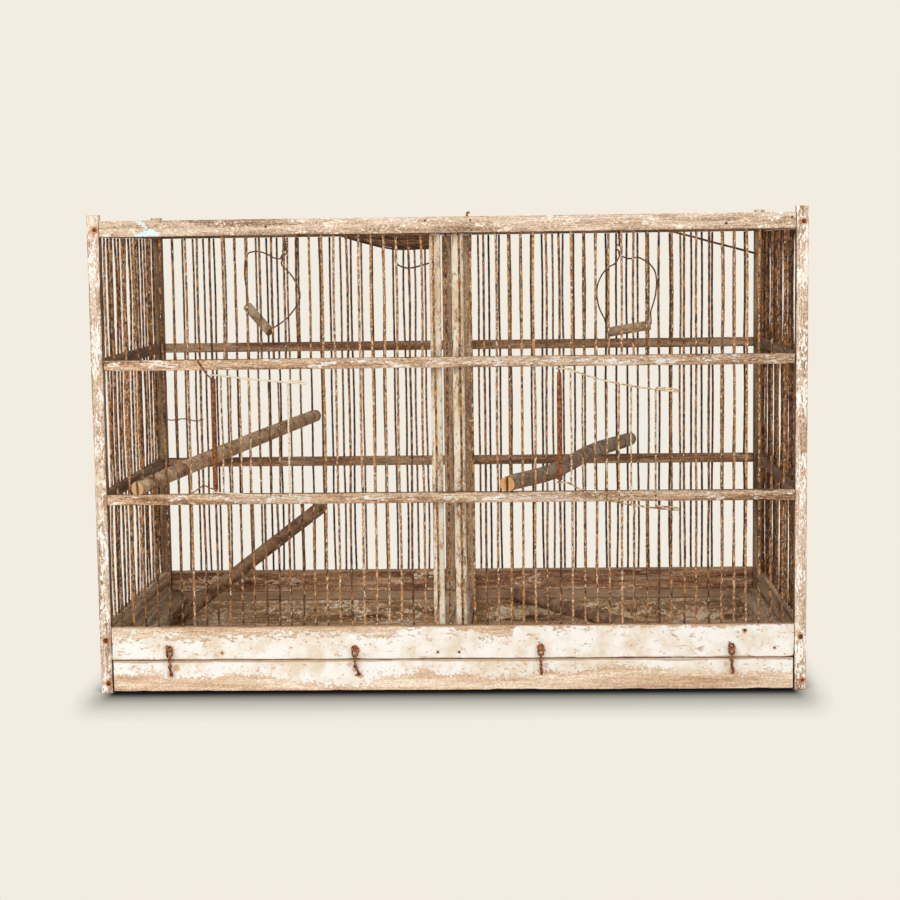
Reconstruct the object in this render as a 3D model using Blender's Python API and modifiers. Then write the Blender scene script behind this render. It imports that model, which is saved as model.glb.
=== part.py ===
"""Wire birdcage: a wooden frame with wire grilles, two sprung doors, a drop flap, trays and swings.

Metres, +Z up. The origin is on the ground under the middle of the cage, and the front faces -Y.
"""

from math import acos, asin, ceil, cos, exp, hypot, pi, radians, sin, sqrt

import bmesh
import bpy
from mathutils import Matrix, Vector

# Frame
cage_width = 0.715
cage_depth = 0.349
post_height = 0.4846
back_post_rise = 0.0024
post_side = 0.0118
edge_ease = 0.0005
clearance = 0.0003

# Top rails, which lie a little below the post tops
top_rail_height = 0.0161
post_stand = 0.006

# Slats that carry the wires, by the heights of their middles
slat_height = 0.0107
slat_depth = 0.008
lower_slat_z = 0.1984
upper_slat_z = 0.3343

# Boards round the floor
board_thickness = 0.008
board_top = 0.068
seam_z = 0.03375
flap_lift = 0.0018
flap_end_gap = 0.0012
board_lift = 0.002
back_upper_board_height = 0.036
side_board_thickness = 0.0095

# Upright wires: the long sides have one in the middle and as many on both sides of it
bar_radius = 0.00115
bars_each_side = 27
bar_edge_room = 0.0109
side_bars = 18
side_bar_edge_room = 0.01395
bar_seat_share = 0.3

# Stiles and centre battens on both sides of the divider's slot
divider_slot = 0.0116
stile_width = 0.011
stile_depth = 0.011

# Roof battens and wires
batten_width = 0.012
batten_height = 0.011
batten_off_middle = 0.00025
batten_drop = 0.0026
loose_wire_end_gap = 0.0147
loose_wire_start_gap = 0.04
loose_wire_drop = 0.036
sag_depth = 0.023
sag_start = 0.056
sag_bottom = 0.06
sag_end_gap = 0.005
sag_drop_shares = (0.25, 0.667, 1.0, 1.0)
loose_wire_start_share = 0.167
sag_shares = (
    0.3, 0.55, 0.8, 0.75, 0.45, 1.0, 0.9, 0.65, 0.6,
    0.8, 0.35, 0.5, 0.95, 0.7, 0.4, 0.85, 0.25, 0.55,
)
loose_wire_bar = 5

# Floor rail, tray ledges, guides and trays
floor_rail_width = 0.033
floor_rail_top = 0.045
ledge_width = 0.0095
ledge_top = 0.0055
guide_width = 0.021
guide_height = 0.012
guide_lip = 0.003
guide_lift = 0.0015
tray_sheet = 0.001
tray_play = 0.001
tray_top = 0.0325
tray_lid_share = 0.5

# Hinge staples and hairpins of the flap
flap_wire_radius = 0.00075
flap_axis_stand = 0.0029
flap_axis_rise = 0.00345
staple_half_width = 0.0026
staple_leg_rise = 0.01205
hairpin_leg_drop = 0.01625
wire_leg_depth = 0.005
outer_hairpin_gaps = (0.0595, 0.063)
inner_hairpin_places = (-0.0973, 0.0908)

# Doors: each turns on one front wire and stands ajar
door_wire_radius = 0.0008
door_bar_radius = 0.0009
door_bar_lag = 0.00035
door_bar_overrun = 0.0011
door_bars = 8
latch_reach = 0.0228
door_fold_radius = 0.00105
door_eye_turn = radians(250)
left_door_bar = -19
left_door_open = radians(33)
left_low_eye_gap = 0.00185
left_high_eye_gap = 0.00425
left_door_droop = 0.002
left_droop_length = 0.07
right_door_bar = 9
right_door_open = radians(18.5)
right_low_eye_gap = 0.00875
right_high_eye_gap = 0.00215
right_low_droop = 0.025
right_low_droop_length = 0.04
right_high_droop = 0.027
right_high_droop_length = 0.07
droop_start = 0.010
right_door_lost_bar = 7

# Coils on the hinge wires
coil_wire_radius = 0.0005
coil_turns = 20.75
coil_points = 8
coil_foot_gap = 0.0022
coil_head_gap = 0.0042
tail_length = 0.0235
tail_rise = 0.0045
tail_dip = 0.0028
top_tail_reach = 0.0138
top_tail_rise = 0.0192
top_tail_start_share = 0.7
bottom_tail_shares = ((0.8, 0.0), (0.5, 1.0), (0.25, 0.5))
top_tail_shares = ((0.45, 0.15), (0.65, 0.45), (1.0, 1.0))

# Twisted tie wire over three front wires
tie_wire_radius = 0.0006
tie_bar = -21
tie_aside = 0.005
tie_half_length = 0.018
tie_rise = 0.07525

# Swings
hook_radius = 0.0009
loop_radius = 0.0008
swing_hang = 0.016
neck_radius = 0.0032
neck_drop = 0.0125
left_loop_half_width = 0.045
left_loop_side_drop = 0.038
right_loop_half_width = 0.0315
right_loop_side_drop = 0.045
dowel_radius = 0.0043
dowel_length = 0.046
dowel_drop = 0.0885
dowel_bore_depth = 0.006
left_swing_off_batten = 0.0003
left_swing_turn = radians(-39.4)
left_swing_lean = radians(-32.3)
right_swing_off_batten = 0.0003
right_swing_turn = 0.0
right_swing_lean = radians(7.5)

# Perches, with a saw cut in each end that goes over a wire
perch_radius = 0.0078
left_perch_radius = 0.007
perch_stand = 0.0095
saw_cut_depth = 0.014
saw_cut_width = 0.003
left_perch_bars = (-25, -14)
left_perch_back_rise = 0.04725
right_perch_bars = (5, 16)
right_perch_back_rise = 0.01675
fallen_left_head_gap = 0.1897
fallen_left_head_rise = 0.0828
fallen_left_foot_gaps = (0.0117, 0.0305)
fallen_right_head_gap = 0.0467
fallen_right_foot_gaps = (0.0557, 0.106)
perch_seat = 0.0006

# Heights and planes that follow from the sizes above
half_width = cage_width / 2
half_depth = cage_depth / 2
inner_half_width = half_width - post_side
inner_half_depth = half_depth - post_side
rail_top = post_height - post_stand
rail_bottom = rail_top - top_rail_height
front_bar_y = slat_depth / 2 - half_depth
back_bar_y = -front_bar_y
side_bar_x = half_width - slat_depth / 2
bar_pitch = (inner_half_width - bar_edge_room) / bars_each_side
side_bar_pitch = 2 * (inner_half_depth - side_bar_edge_room) / (side_bars - 1)
roof_bar_z = rail_top - batten_drop - batten_height / 2
batten_bottom = rail_top - batten_drop - batten_height
centre_half_width = divider_slot / 2 + stile_width
batten_x = (centre_half_width + inner_half_width) / 2 - batten_off_middle
stile_front_y = max(slat_depth, board_thickness) + clearance - half_depth
lower_slat_top = lower_slat_z + slat_height / 2
upper_slat_bottom = upper_slat_z - slat_height / 2
back_seam_z = board_top - back_upper_board_height
flap_axis_z = seam_z + flap_axis_rise
staple_leg_z = seam_z + staple_leg_rise
hairpin_leg_z = seam_z - hairpin_leg_drop
guide_low_z = tray_top + guide_lift
door_reach = door_bars * bar_pitch + latch_reach
left_door_low_z = lower_slat_top + left_low_eye_gap
left_door_high_z = upper_slat_bottom - left_high_eye_gap
right_door_low_z = lower_slat_top + right_low_eye_gap
right_door_high_z = upper_slat_bottom - right_high_eye_gap
swing_axis_z = batten_bottom - swing_hang
left_swing_x = -batten_x - left_swing_off_batten
right_swing_x = batten_x - right_swing_off_batten
tray_floor_z = ledge_top + clearance + tray_sheet
tray_back_y = half_depth - board_thickness - tray_play
tray_front_y = board_thickness + tray_play - half_depth
swing_y = 0.0
full_turn = 2 * pi


def clear_scene():
    for obj in list(bpy.data.objects):
        bpy.data.objects.remove(obj, do_unlink=True)


def new_collection(name):
    collection = bpy.data.collections.new(name)
    bpy.context.scene.collection.children.link(collection)
    return collection


def finish(name, colour, roughness, metallic):
    """A new material of one kind of surface."""
    material = bpy.data.materials.new(name)
    material.use_nodes = True
    shader = material.node_tree.nodes["Principled BSDF"]
    shader.inputs["Base Color"].default_value = (*colour, 1)
    shader.inputs["Roughness"].default_value = roughness
    shader.inputs["Metallic"].default_value = metallic
    return material


FINISHES = {
    "painted_wood": ((0.72, 0.66, 0.57), 0.75, 0),
    "bare_wood": ((0.36, 0.25, 0.17), 0.8, 0),
    "perch_wood": ((0.27, 0.19, 0.13), 0.8, 0),
    "rusty_wire": ((0.17, 0.08, 0.045), 0.7, 0.4),
    "sheet_metal": ((0.22, 0.19, 0.16), 0.6, 0.7),
}


def dress(obj, kind):
    obj.data.materials.clear()
    obj.data.materials.append(finish(f"{obj.name}_{kind}", *FINISHES[kind]))
    return obj


def add_mesh(name, mesh, kind):
    obj = bpy.data.objects.new(name, mesh)
    parts.objects.link(obj)
    return dress(obj, kind)


def box_mesh(name, boxes):
    """One mesh of separate boxes, each given as its (x, y, z) spans."""
    shape = bmesh.new()
    for spans in boxes:
        size = [high - low for low, high in spans]
        middle = [(low + high) / 2 for low, high in spans]
        place = Matrix.Translation(middle) @ Matrix.Diagonal((*size, 1))
        bmesh.ops.create_cube(shape, size=1, matrix=place)
    mesh = bpy.data.meshes.new(name)
    shape.to_mesh(mesh)
    shape.free()
    return mesh


def block(name, kind, x, y, z, ease=edge_ease):
    """A sawn piece of wood with its edges eased."""
    obj = add_mesh(name, box_mesh(name, [(x, y, z)]), kind)
    if ease:
        bevel = obj.modifiers.new("eased_edges", "BEVEL")
        bevel.width = ease
        bevel.segments = 1
        bevel.limit_method = "ANGLE"
    return obj


def wires(name, kind, routes, radius, resolution=0):
    """Round wire along each route, as one mesh. Resolution 0 gives 4 sides, 1 gives 6 and 2 gives 8."""
    curve = bpy.data.curves.new(name, "CURVE")
    curve.dimensions = "3D"
    curve.bevel_depth = radius
    curve.bevel_resolution = resolution
    curve.use_fill_caps = True
    for route in routes:
        spline = curve.splines.new("POLY")
        spline.points.add(len(route) - 1)
        for point, place in zip(spline.points, route):
            point.co = (*place, 1)
    drawn = bpy.data.objects.new(name, curve)
    parts.objects.link(drawn)
    bpy.context.view_layer.update()
    mesh = bpy.data.meshes.new_from_object(drawn.evaluated_get(bpy.context.evaluated_depsgraph_get()))
    bpy.data.objects.remove(drawn, do_unlink=True)
    shape = bmesh.new()
    shape.from_mesh(mesh)
    bmesh.ops.remove_doubles(shape, verts=shape.verts, dist=radius / 100)
    bmesh.ops.recalc_face_normals(shape, faces=shape.faces)
    shape.to_mesh(mesh)
    shape.free()
    mesh.name = name
    return add_mesh(name, mesh, kind)


def join(obj, tool, operation="UNION"):
    """Joins the tool to the object, or cuts it out, and puts the tool among the cutters."""
    modifier = obj.modifiers.new(f"{operation.lower()}_{tool.name}", "BOOLEAN")
    modifier.operation = operation
    modifier.solver = "EXACT"
    modifier.object = tool
    parts.objects.unlink(tool)
    cutters.objects.link(tool)
    tool.hide_render = True
    tool.display_type = "WIRE"
    return obj


def empty_at(name, place, turn=0.0):
    axis = bpy.data.objects.new(name, None)
    axis.location = place
    axis.rotation_euler = (0, 0, turn)
    axis.empty_display_size = post_side
    parts.objects.link(axis)
    return axis


def arc(centre, radius, start, turn, steps):
    """Points (a, b) of an arc in one plane, both ends counted."""
    angles = [start + turn * step / steps for step in range(steps + 1)]
    return [(centre[0] + radius * cos(angle), centre[1] + radius * sin(angle)) for angle in angles]


def bar_x(number):
    return number * bar_pitch


def side_bar_places():
    return [(number - (side_bars - 1) / 2) * side_bar_pitch for number in range(side_bars)]


def build_posts_and_rails():
    for side, sign in (("left", -1), ("right", 1)):
        x = sorted((sign * half_width, sign * inner_half_width))
        for end, way, top in (("front", -1, post_height), ("back", 1, post_height + back_post_rise)):
            y = sorted((way * half_depth, way * inner_half_depth))
            block(f"{end}_{side}_post", "painted_wood", x, y, (0, top))
        y = (clearance - inner_half_depth, inner_half_depth - clearance)
        block(f"{side}_top_rail", "painted_wood", x, y, (rail_bottom, rail_top))
    for end, way in (("front", -1), ("back", 1)):
        x = (clearance - inner_half_width, inner_half_width - clearance)
        y = sorted((way * half_depth, way * inner_half_depth))
        block(f"{end}_top_rail", "painted_wood", x, y, (rail_bottom, rail_top))


def build_boards():
    x = (clearance - inner_half_width, inner_half_width - clearance)
    front_y = (-half_depth, board_thickness - half_depth)
    back_y = (half_depth - board_thickness, half_depth)
    low = seam_z + clearance
    base = block("front_base_board", "painted_wood", x, front_y, (low, board_top))
    flap_x = (flap_end_gap - inner_half_width, inner_half_width - flap_end_gap)
    axis = empty_at("flap_hinge_axis", (0, -half_depth - flap_axis_stand, flap_axis_z))
    flap = block("tray_flap", "painted_wood", flap_x, front_y, (flap_lift, seam_z - clearance))
    block("back_upper_board", "bare_wood", x, back_y, (back_seam_z + clearance, board_top))
    block("back_lower_board", "bare_wood", x, back_y, (board_lift, back_seam_z))
    side_y = (clearance - inner_half_depth, inner_half_depth - clearance)
    for side, sign in (("left", -1), ("right", 1)):
        side_x = sorted((sign * half_width, sign * (half_width - side_board_thickness)))
        block(f"{side}_side_board", "painted_wood", side_x, side_y, (board_lift, board_top))
    return base, flap, axis


def bar_routes(y, low, high, doors=()):
    """Upright wires of a long side, which stop inside the slats where a doorway is."""
    open_bars = {first + step for first in doors for step in range(1, door_bars + 1)}
    seat = slat_height * bar_seat_share
    routes = []
    for number in range(-bars_each_side, bars_each_side + 1):
        x = bar_x(number)
        if number in open_bars:
            routes.append([(x, y, low), (x, y, lower_slat_top - seat)])
            routes.append([(x, y, upper_slat_bottom + seat), (x, y, high)])
        else:
            routes.append([(x, y, low), (x, y, high)])
    return routes


def slat_spans(z):
    return (z - slat_height / 2, z + slat_height / 2)


def build_grilles():
    low = board_top + clearance
    high = rail_bottom - clearance
    x = (clearance - inner_half_width, inner_half_width - clearance)
    for end, way, doors in (("front", -1, (left_door_bar, right_door_bar)), ("back", 1, ())):
        y = sorted((way * half_depth, way * (half_depth - slat_depth)))
        slats = [(x, y, slat_spans(z)) for z in (lower_slat_z, upper_slat_z)]
        grille = add_mesh(f"{end}_grille", box_mesh(f"{end}_slats", slats), "painted_wood")
        routes = bar_routes(way * back_bar_y, low, high, doors)
        join(grille, wires(f"{end}_wires", "rusty_wire", routes, bar_radius))
    y = (clearance - inner_half_depth, inner_half_depth - clearance)
    for side, sign in (("left", -1), ("right", 1)):
        x = sorted((sign * half_width, sign * (half_width - slat_depth)))
        slats = [(x, y, slat_spans(z)) for z in (lower_slat_z, upper_slat_z)]
        grille = add_mesh(f"{side}_grille", box_mesh(f"{side}_slats", slats), "painted_wood")
        bar = sign * side_bar_x
        routes = [[(bar, place, low), (bar, place, high)] for place in side_bar_places()]
        join(grille, wires(f"{side}_wires", "rusty_wire", routes, bar_radius))


def build_centre():
    """Stiles, centre battens and floor rail, which leave a slot for a loose divider."""
    inner_y = -stile_front_y
    for side, sign in (("left", -1), ("right", 1)):
        x = sorted((sign * divider_slot / 2, sign * centre_half_width))
        for end, way in (("front", -1), ("back", 1)):
            y = sorted((way * inner_y, way * (inner_y - stile_depth)))
            z = (floor_rail_top + clearance, rail_bottom - clearance)
            block(f"{end}_{side}_stile", "painted_wood", x, y, z)
        y = (clearance - inner_half_depth, inner_half_depth - clearance)
        block(f"{side}_centre_batten", "bare_wood", x, y, (rail_bottom, rail_top - batten_drop))
    half = floor_rail_width / 2
    foot = half + ledge_width
    outline = [(-foot, 0), (foot, 0), (foot, ledge_top), (half, ledge_top), (half, floor_rail_top)]
    outline += [(-x, z) for x, z in outline[:1:-1]]
    moulding("centre_floor_rail", outline, half_depth - board_thickness - clearance)


def moulding(name, outline, half_length):
    """A length of wood from front to back with the same (x, z) outline all along."""
    curve = bpy.data.curves.new(name, "CURVE")
    curve.dimensions = "2D"
    curve.fill_mode = "BOTH"
    curve.extrude = half_length
    spline = curve.splines.new("POLY")
    spline.points.add(len(outline) - 1)
    spline.use_cyclic_u = True
    for point, (x, z) in zip(spline.points, outline):
        point.co = (x, z, 0, 1)
    wood = bpy.data.objects.new(name, curve)
    wood.rotation_euler = (pi / 2, 0, 0)
    parts.objects.link(wood)
    dress(wood, "bare_wood")


def sag_route(y, share):
    """A roof wire of the left half whose inner end has dropped."""
    start = -batten_x + sag_start
    low = -sag_bottom
    end = -centre_half_width - sag_end_gap
    depth = sag_depth * share
    places = zip((start, (start + low) / 2, low, end), sag_drop_shares)
    route = [(-inner_half_width + clearance, y, roof_bar_z), (-batten_x + batten_width, y, roof_bar_z)]
    return route + [(x, y, roof_bar_z - depth * fallen) for x, fallen in places]


def build_roof():
    """One grille over each half: a batten from front to back with wires across."""
    places = side_bar_places()
    outer = inner_half_width - clearance
    inner = centre_half_width + clearance
    y = (clearance - inner_half_depth, inner_half_depth - clearance)
    z = (batten_bottom, batten_bottom + batten_height)
    for side, sign in (("left", -1), ("right", 1)):
        x = (sign * batten_x - batten_width / 2, sign * batten_x + batten_width / 2)
        grille = add_mesh(f"{side}_roof_grille", box_mesh(f"{side}_roof_batten", [(x, y, z)]), "bare_wood")
        routes = []
        for number, place in enumerate(places):
            route = [(sign * outer, place, roof_bar_z), (sign * inner, place, roof_bar_z)]
            if side == "left":
                route = sag_route(place, sag_shares[number % len(sag_shares)])
            if side == "right" and number == loose_wire_bar:
                drop = roof_bar_z - loose_wire_drop
                route[0] = (inner_half_width - loose_wire_end_gap, place, drop)
                bend_z = roof_bar_z - loose_wire_drop * loose_wire_start_share
                route.insert(1, (batten_x + loose_wire_start_gap, place, bend_z))
                route.insert(2, (batten_x + batten_width, place, roof_bar_z))
            routes.append(route)
        join(grille, wires(f"{side}_roof_wires", "rusty_wire", routes, bar_radius))
        bore = [(swing_x(side), swing_y, batten_bottom - clearance)]
        bore.append((swing_x(side), swing_y, batten_bottom + wire_leg_depth + clearance))
        tool = wires(f"{side}_hook_bore", "bare_wood", [bore], hook_radius + clearance, 2)
        join(grille, tool, "DIFFERENCE")


def swing_x(side):
    return left_swing_x if side == "left" else right_swing_x


def build_trays():
    low = ledge_top + clearance
    shelf = half_width - side_board_thickness
    for side, sign in (("left", -1), ("right", 1)):
        x = sorted((sign * (floor_rail_width / 2 + tray_play), sign * (inner_half_width - tray_play)))
        mesh = box_mesh(f"{side}_tray", [(x, (tray_front_y, tray_back_y), (low, tray_top))])
        shape = bmesh.new()
        shape.from_mesh(mesh)
        lid = [face for face in shape.faces if face.normal.z > tray_lid_share]
        bmesh.ops.delete(shape, geom=lid, context="FACES_ONLY")
        shape.to_mesh(mesh)
        shape.free()
        tray = add_mesh(f"{side}_tray", mesh, "sheet_metal")
        wall = tray.modifiers.new("sheet", "SOLIDIFY")
        wall.thickness = tray_sheet
        wall.offset = -1
        wall.use_even_offset = True
        outer, inner = shelf - clearance, shelf - clearance - guide_width
        outline = [(outer, guide_low_z), (outer, guide_low_z + guide_height)]
        outline += [(inner, guide_low_z + guide_lip), (inner, guide_low_z)]
        outline = [(sign * x, z) for x, z in outline]
        moulding(f"{side}_litter_guide", outline, inner_half_depth - clearance)
        y = (clearance - inner_half_depth, inner_half_depth - clearance)
        x = sorted((sign * outer, sign * (outer - ledge_width)))
        block(f"{side}_tray_runner", "bare_wood", x, y, (board_lift, ledge_top), 0)


def staple_route(x):
    """A staple driven into the base board, whose bow hangs in front of it."""
    face = -half_depth
    axis_y = face - flap_axis_stand
    bow_z = flap_axis_z + staple_half_width
    corner_z = staple_leg_z - flap_axis_stand / 2
    bow = arc((x, bow_z), staple_half_width, pi, pi, 6)
    left, right = x - staple_half_width, x + staple_half_width
    route = [(left, face + wire_leg_depth, staple_leg_z), (left, face - flap_axis_stand / 2, staple_leg_z)]
    route.append((left, axis_y, corner_z))
    route += [(place, axis_y, z) for place, z in bow]
    route.append((right, axis_y, corner_z))
    route += [(right, face - flap_axis_stand / 2, staple_leg_z), (right, face + wire_leg_depth, staple_leg_z)]
    return route


def hairpin_route(x):
    """A hairpin driven into the flap, whose bow turns round the staple with running room."""
    face = -half_depth
    axis_y = face - flap_axis_stand
    bow_radius = 2 * flap_wire_radius + clearance
    back_y = axis_y + bow_radius
    front_y = axis_y - bow_radius
    leg_top = hairpin_leg_z + 2 * bow_radius
    route = [(x, face + wire_leg_depth, hairpin_leg_z), (x, face - clearance, hairpin_leg_z)]
    route.append((x, back_y, hairpin_leg_z + bow_radius / 2))
    route += [(x, y, z) for y, z in arc((axis_y, flap_axis_z), bow_radius, 0, pi, 6)]
    route.append((x, front_y, leg_top + bow_radius))
    route.append((x, axis_y - bow_radius / 4, hairpin_leg_z + bow_radius / 4))
    return route


def hairpin_places():
    left_gap, right_gap = outer_hairpin_gaps
    return (left_gap - inner_half_width, *inner_hairpin_places, inner_half_width - right_gap)


def build_flap_hinges(base, flap, axis):
    face = -half_depth
    bore = flap_wire_radius + clearance
    deep = face + wire_leg_depth + clearance
    out = face - clearance
    board_bores, flap_bores = [], []
    for number, x in enumerate(hairpin_places(), start=1):
        wires(f"flap_staple_{number}", "rusty_wire", [staple_route(x)], flap_wire_radius, 1)
        pin = wires(f"flap_hairpin_{number}", "rusty_wire", [hairpin_route(x)], flap_wire_radius, 1)
        keep_place(pin, axis)
        for leg in (x - staple_half_width, x + staple_half_width):
            board_bores.append([(leg, out, staple_leg_z), (leg, deep, staple_leg_z)])
        flap_bores.append([(x, out, hairpin_leg_z), (x, deep, hairpin_leg_z)])
    join(base, wires("staple_bores", "painted_wood", board_bores, bore, 1), "DIFFERENCE")
    tool = wires("hairpin_bores", "painted_wood", flap_bores, bore, 1)
    join(flap, tool, "DIFFERENCE")
    keep_place(flap, axis)
    keep_place(tool, axis)


def keep_place(obj, axis):
    """Parents the object to its joint's axis without moving it."""
    bpy.context.view_layer.update()
    obj.parent = axis
    obj.matrix_parent_inverse = axis.matrix_world.inverted()


def droop(along, depth, length):
    """How far an arm hangs below its eye at a distance along it."""
    return depth * (1 - exp(-max(0.0, along - droop_start) / length))


def arm_route(z, depth, length, eye_radius):
    """An arm's wire: an open eye round the hinge wire, the arm, and the latch tip folded back."""
    eye = arc((0, 0), eye_radius, -pi / 2 - door_eye_turn, door_eye_turn, 9)
    route = [(x, y, z) for x, y in eye]
    last_bar = door_bars * bar_pitch
    for along in [bar_pitch * step for step in range(1, door_bars + 1)]:
        route.append((along, -eye_radius, z - droop(along, depth, length)))
    tip_z = z - droop(door_reach, depth, length)
    bend = arc((door_reach - door_fold_radius, tip_z + door_fold_radius), door_fold_radius, -pi / 2, pi, 4)
    route += [(x, -eye_radius, height) for x, height in bend]
    end_z = z - droop(last_bar, depth, length) + 2 * door_fold_radius
    route.append((last_bar - door_bar_radius * 2, -eye_radius, end_z))
    return route


def build_door(side, number, opened, low, high, lost=()):
    """low and high are each (height, droop depth, droop length) of an arm."""
    axis = empty_at(f"{side}_door_hinge_axis", (bar_x(number), front_bar_y, 0), -opened)
    eye_radius = bar_radius + clearance + door_wire_radius
    arms = [arm_route(*arm, eye_radius) for arm in (low, high)]
    door = wires(f"{side}_door", "rusty_wire", arms, door_wire_radius, 1)
    uprights = []
    y = door_bar_lag - eye_radius
    for step in range(1, door_bars + 1):
        along = step * bar_pitch
        foot = low[0] - droop(along, *low[1:]) - door_bar_overrun
        head = high[0] - droop(along, *high[1:]) + door_bar_overrun
        if step == door_bars:
            head += 2 * door_fold_radius
        if step not in lost:
            uprights.append([(along, y, foot), (along, y, head)])
    tool = wires(f"{side}_door_wires", "rusty_wire", uprights, door_bar_radius, 0)
    join(door, tool)
    door.parent = axis
    tool.parent = axis


def build_coil(side, number, low_eye_z, high_eye_z):
    """The wire wound round a door's hinge wire, one unbroken tube with a tail at each end."""
    x, y = bar_x(number), front_bar_y
    radius = bar_radius + clearance + coil_wire_radius
    foot = low_eye_z + coil_foot_gap
    head = high_eye_z - coil_head_gap
    steps = ceil(coil_turns * coil_points)
    route = [(x - tail_length, y - radius, foot - tail_dip)]
    route += [(x - tail_length * out, y - radius, foot + tail_rise * up) for out, up in bottom_tail_shares]
    for step in range(steps + 1):
        angle = coil_turns * full_turn * step / steps - pi / 2
        route.append((x + radius * cos(angle), y + radius * sin(angle), foot + (head - foot) * step / steps))
    stand = slat_depth / 2 + clearance + coil_wire_radius
    route.append((x - radius - radius / 2, y - stand * top_tail_start_share, head + 2 * coil_wire_radius))
    route += [(x - top_tail_reach * out, y - stand, head + top_tail_rise * up) for out, up in top_tail_shares]
    wires(f"{side}_door_coil", "rusty_wire", [route], coil_wire_radius, 1)
    pitch = (head - foot) / coil_turns
    print(f"{side} coil: least gap between turns {(pitch - 2 * coil_wire_radius) * 1000:.2f} mm")


def build_tie_wire():
    stand = bar_radius + clearance + tie_wire_radius
    y = front_bar_y - stand
    z = lower_slat_top + tie_rise
    middle = bar_x(tie_bar) - tie_aside
    rise = 2 * tie_wire_radius
    route = [(middle - tie_half_length, y, z + rise), (middle - bar_pitch, y, z), (middle, y, z + rise)]
    route += [(middle + bar_pitch, y, z - rise), (middle + tie_half_length, y, z)]
    wires("tie_wire", "rusty_wire", [route], tie_wire_radius, 1)


def hook_route(x, turn):
    """A hook that hangs from a roof batten, with its bow under the loop's neck."""
    bow_radius = hook_radius + clearance + loop_radius
    across = Vector((-sin(turn), cos(turn), 0))
    bow = arc((0, 0), bow_radius, 0, -pi, 6)
    top = batten_bottom + wire_leg_depth
    route = [(x, swing_y, top), (x, swing_y, batten_bottom - bow_radius)]
    shoulder = Vector((x, swing_y, swing_axis_z + 2 * bow_radius)) + across * bow_radius
    route.append(tuple(shoulder))
    for side, height in bow:
        place = Vector((x, swing_y, swing_axis_z + height)) + across * side
        route.append(tuple(place))
    tip = Vector((x, swing_y, swing_axis_z + 2 * bow_radius)) - across * bow_radius
    route.append(tuple(tip))
    return route


def loop_outline(half_width, side_drop):
    """(along, down) points of one side of the swing's wire, from the neck to the dowel's end."""
    half_neck = loop_radius + clearance
    shoulder = arc((0, -side_drop), half_width, pi / 2, -pi / 2, 7)
    rise = side_drop - neck_drop - loop_radius
    upper = [(a, -side_drop + (b + side_drop) * rise / half_width) for a, b in shoulder[1:]]
    lower = []
    reach = dowel_drop - side_drop
    foot = dowel_length / 2 + clearance + 1.5 * loop_radius
    last = acos(min(1.0, foot / half_width))
    for step in range(1, 5):
        angle = last * step / 4
        lower.append((half_width * cos(angle), -side_drop - reach * sin(angle) / sin(last)))
    return [(half_neck, -neck_drop)] + upper + lower


def swing_points(x, turn, lean, outline):
    """Plane points turned by the lean about the middle of the neck and set in the loop's upright plane."""
    along = Vector((cos(turn), sin(turn), 0))
    placed = []
    for a, b in outline:
        u = a * cos(lean) - (b + neck_radius) * sin(lean)
        w = a * sin(lean) + (b + neck_radius) * cos(lean) - neck_radius
        placed.append(tuple(Vector((x, swing_y, swing_axis_z + w)) + along * u))
    return placed


def build_swing(side, x, turn, lean, half_width, side_drop):
    wires(f"{side}_swing_hook", "rusty_wire", [hook_route(x, turn)], hook_radius, 1)
    axis = empty_at(f"{side}_swing_axis", (x, swing_y, swing_axis_z))
    half_neck = loop_radius + clearance
    spread = asin(half_neck / neck_radius)
    ring = arc((0, -neck_radius), neck_radius, -pi / 2 + spread, full_turn - 2 * spread, 10)
    side_points = loop_outline(half_width, side_drop)
    end_a = dowel_length / 2 - dowel_bore_depth + clearance
    right = side_points + [(end_a, -dowel_drop)]
    left = [(-a, b) for a, b in reversed(right)]
    outline = left + list(reversed(ring)) + right
    loop = wires(f"{side}_swing_loop", "rusty_wire", [swing_points(x, turn, lean, outline)], loop_radius, 1)
    half = dowel_length / 2
    ends = swing_points(x, turn, lean, [(-half, -dowel_drop), (half, -dowel_drop)])
    dowel = rod(f"{side}_swing_dowel", Vector(ends[0]), Vector(ends[1]), dowel_radius, 12)
    deep = half - dowel_bore_depth
    bores = []
    for inner, outer in ((-deep, -half - clearance), (deep, half + clearance)):
        bores.append(swing_points(x, turn, lean, [(inner, -dowel_drop), (outer, -dowel_drop)]))
    tool = wires(f"{side}_dowel_bores", "perch_wood", bores, loop_radius + clearance, 1)
    join(dowel, tool, "DIFFERENCE")
    for obj in (loop, dowel, tool):
        keep_place(obj, axis)


def rod(name, start, end, radius, sides):
    """A round stick from one point to another."""
    run = end - start
    shape = bmesh.new()
    turn = run.to_track_quat("Z", "Y").to_matrix().to_4x4()
    place = Matrix.Translation((start + end) / 2) @ turn
    bmesh.ops.create_cone(
        shape, cap_ends=True, segments=sides, radius1=radius, radius2=radius, depth=run.length, matrix=place
    )
    mesh = bpy.data.meshes.new(name)
    shape.to_mesh(mesh)
    shape.free()
    stick = add_mesh(name, mesh, "perch_wood")
    stick.data.shade_smooth()
    stick.data.set_sharp_from_angle(angle=radians(40))
    return stick


def saw_cut(name, end, into):
    """A cutter for an upright saw cut along a stick, which starts outside its slanted end."""
    flat = Vector((into.x, into.y, 0)).normalized()
    across = Vector((-flat.y, flat.x, 0))
    overrun = perch_radius
    middle = end + flat * (saw_cut_depth - overrun) / 2
    frame = Matrix((flat, across, Vector((0, 0, 1)))).transposed().to_4x4()
    size = Matrix.Diagonal((saw_cut_depth + overrun, saw_cut_width, 4 * perch_radius, 1))
    shape = bmesh.new()
    bmesh.ops.create_cube(shape, size=1, matrix=Matrix.Translation(middle) @ frame @ size)
    mesh = bpy.data.meshes.new(name)
    shape.to_mesh(mesh)
    shape.free()
    return add_mesh(name, mesh, "perch_wood")


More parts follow.
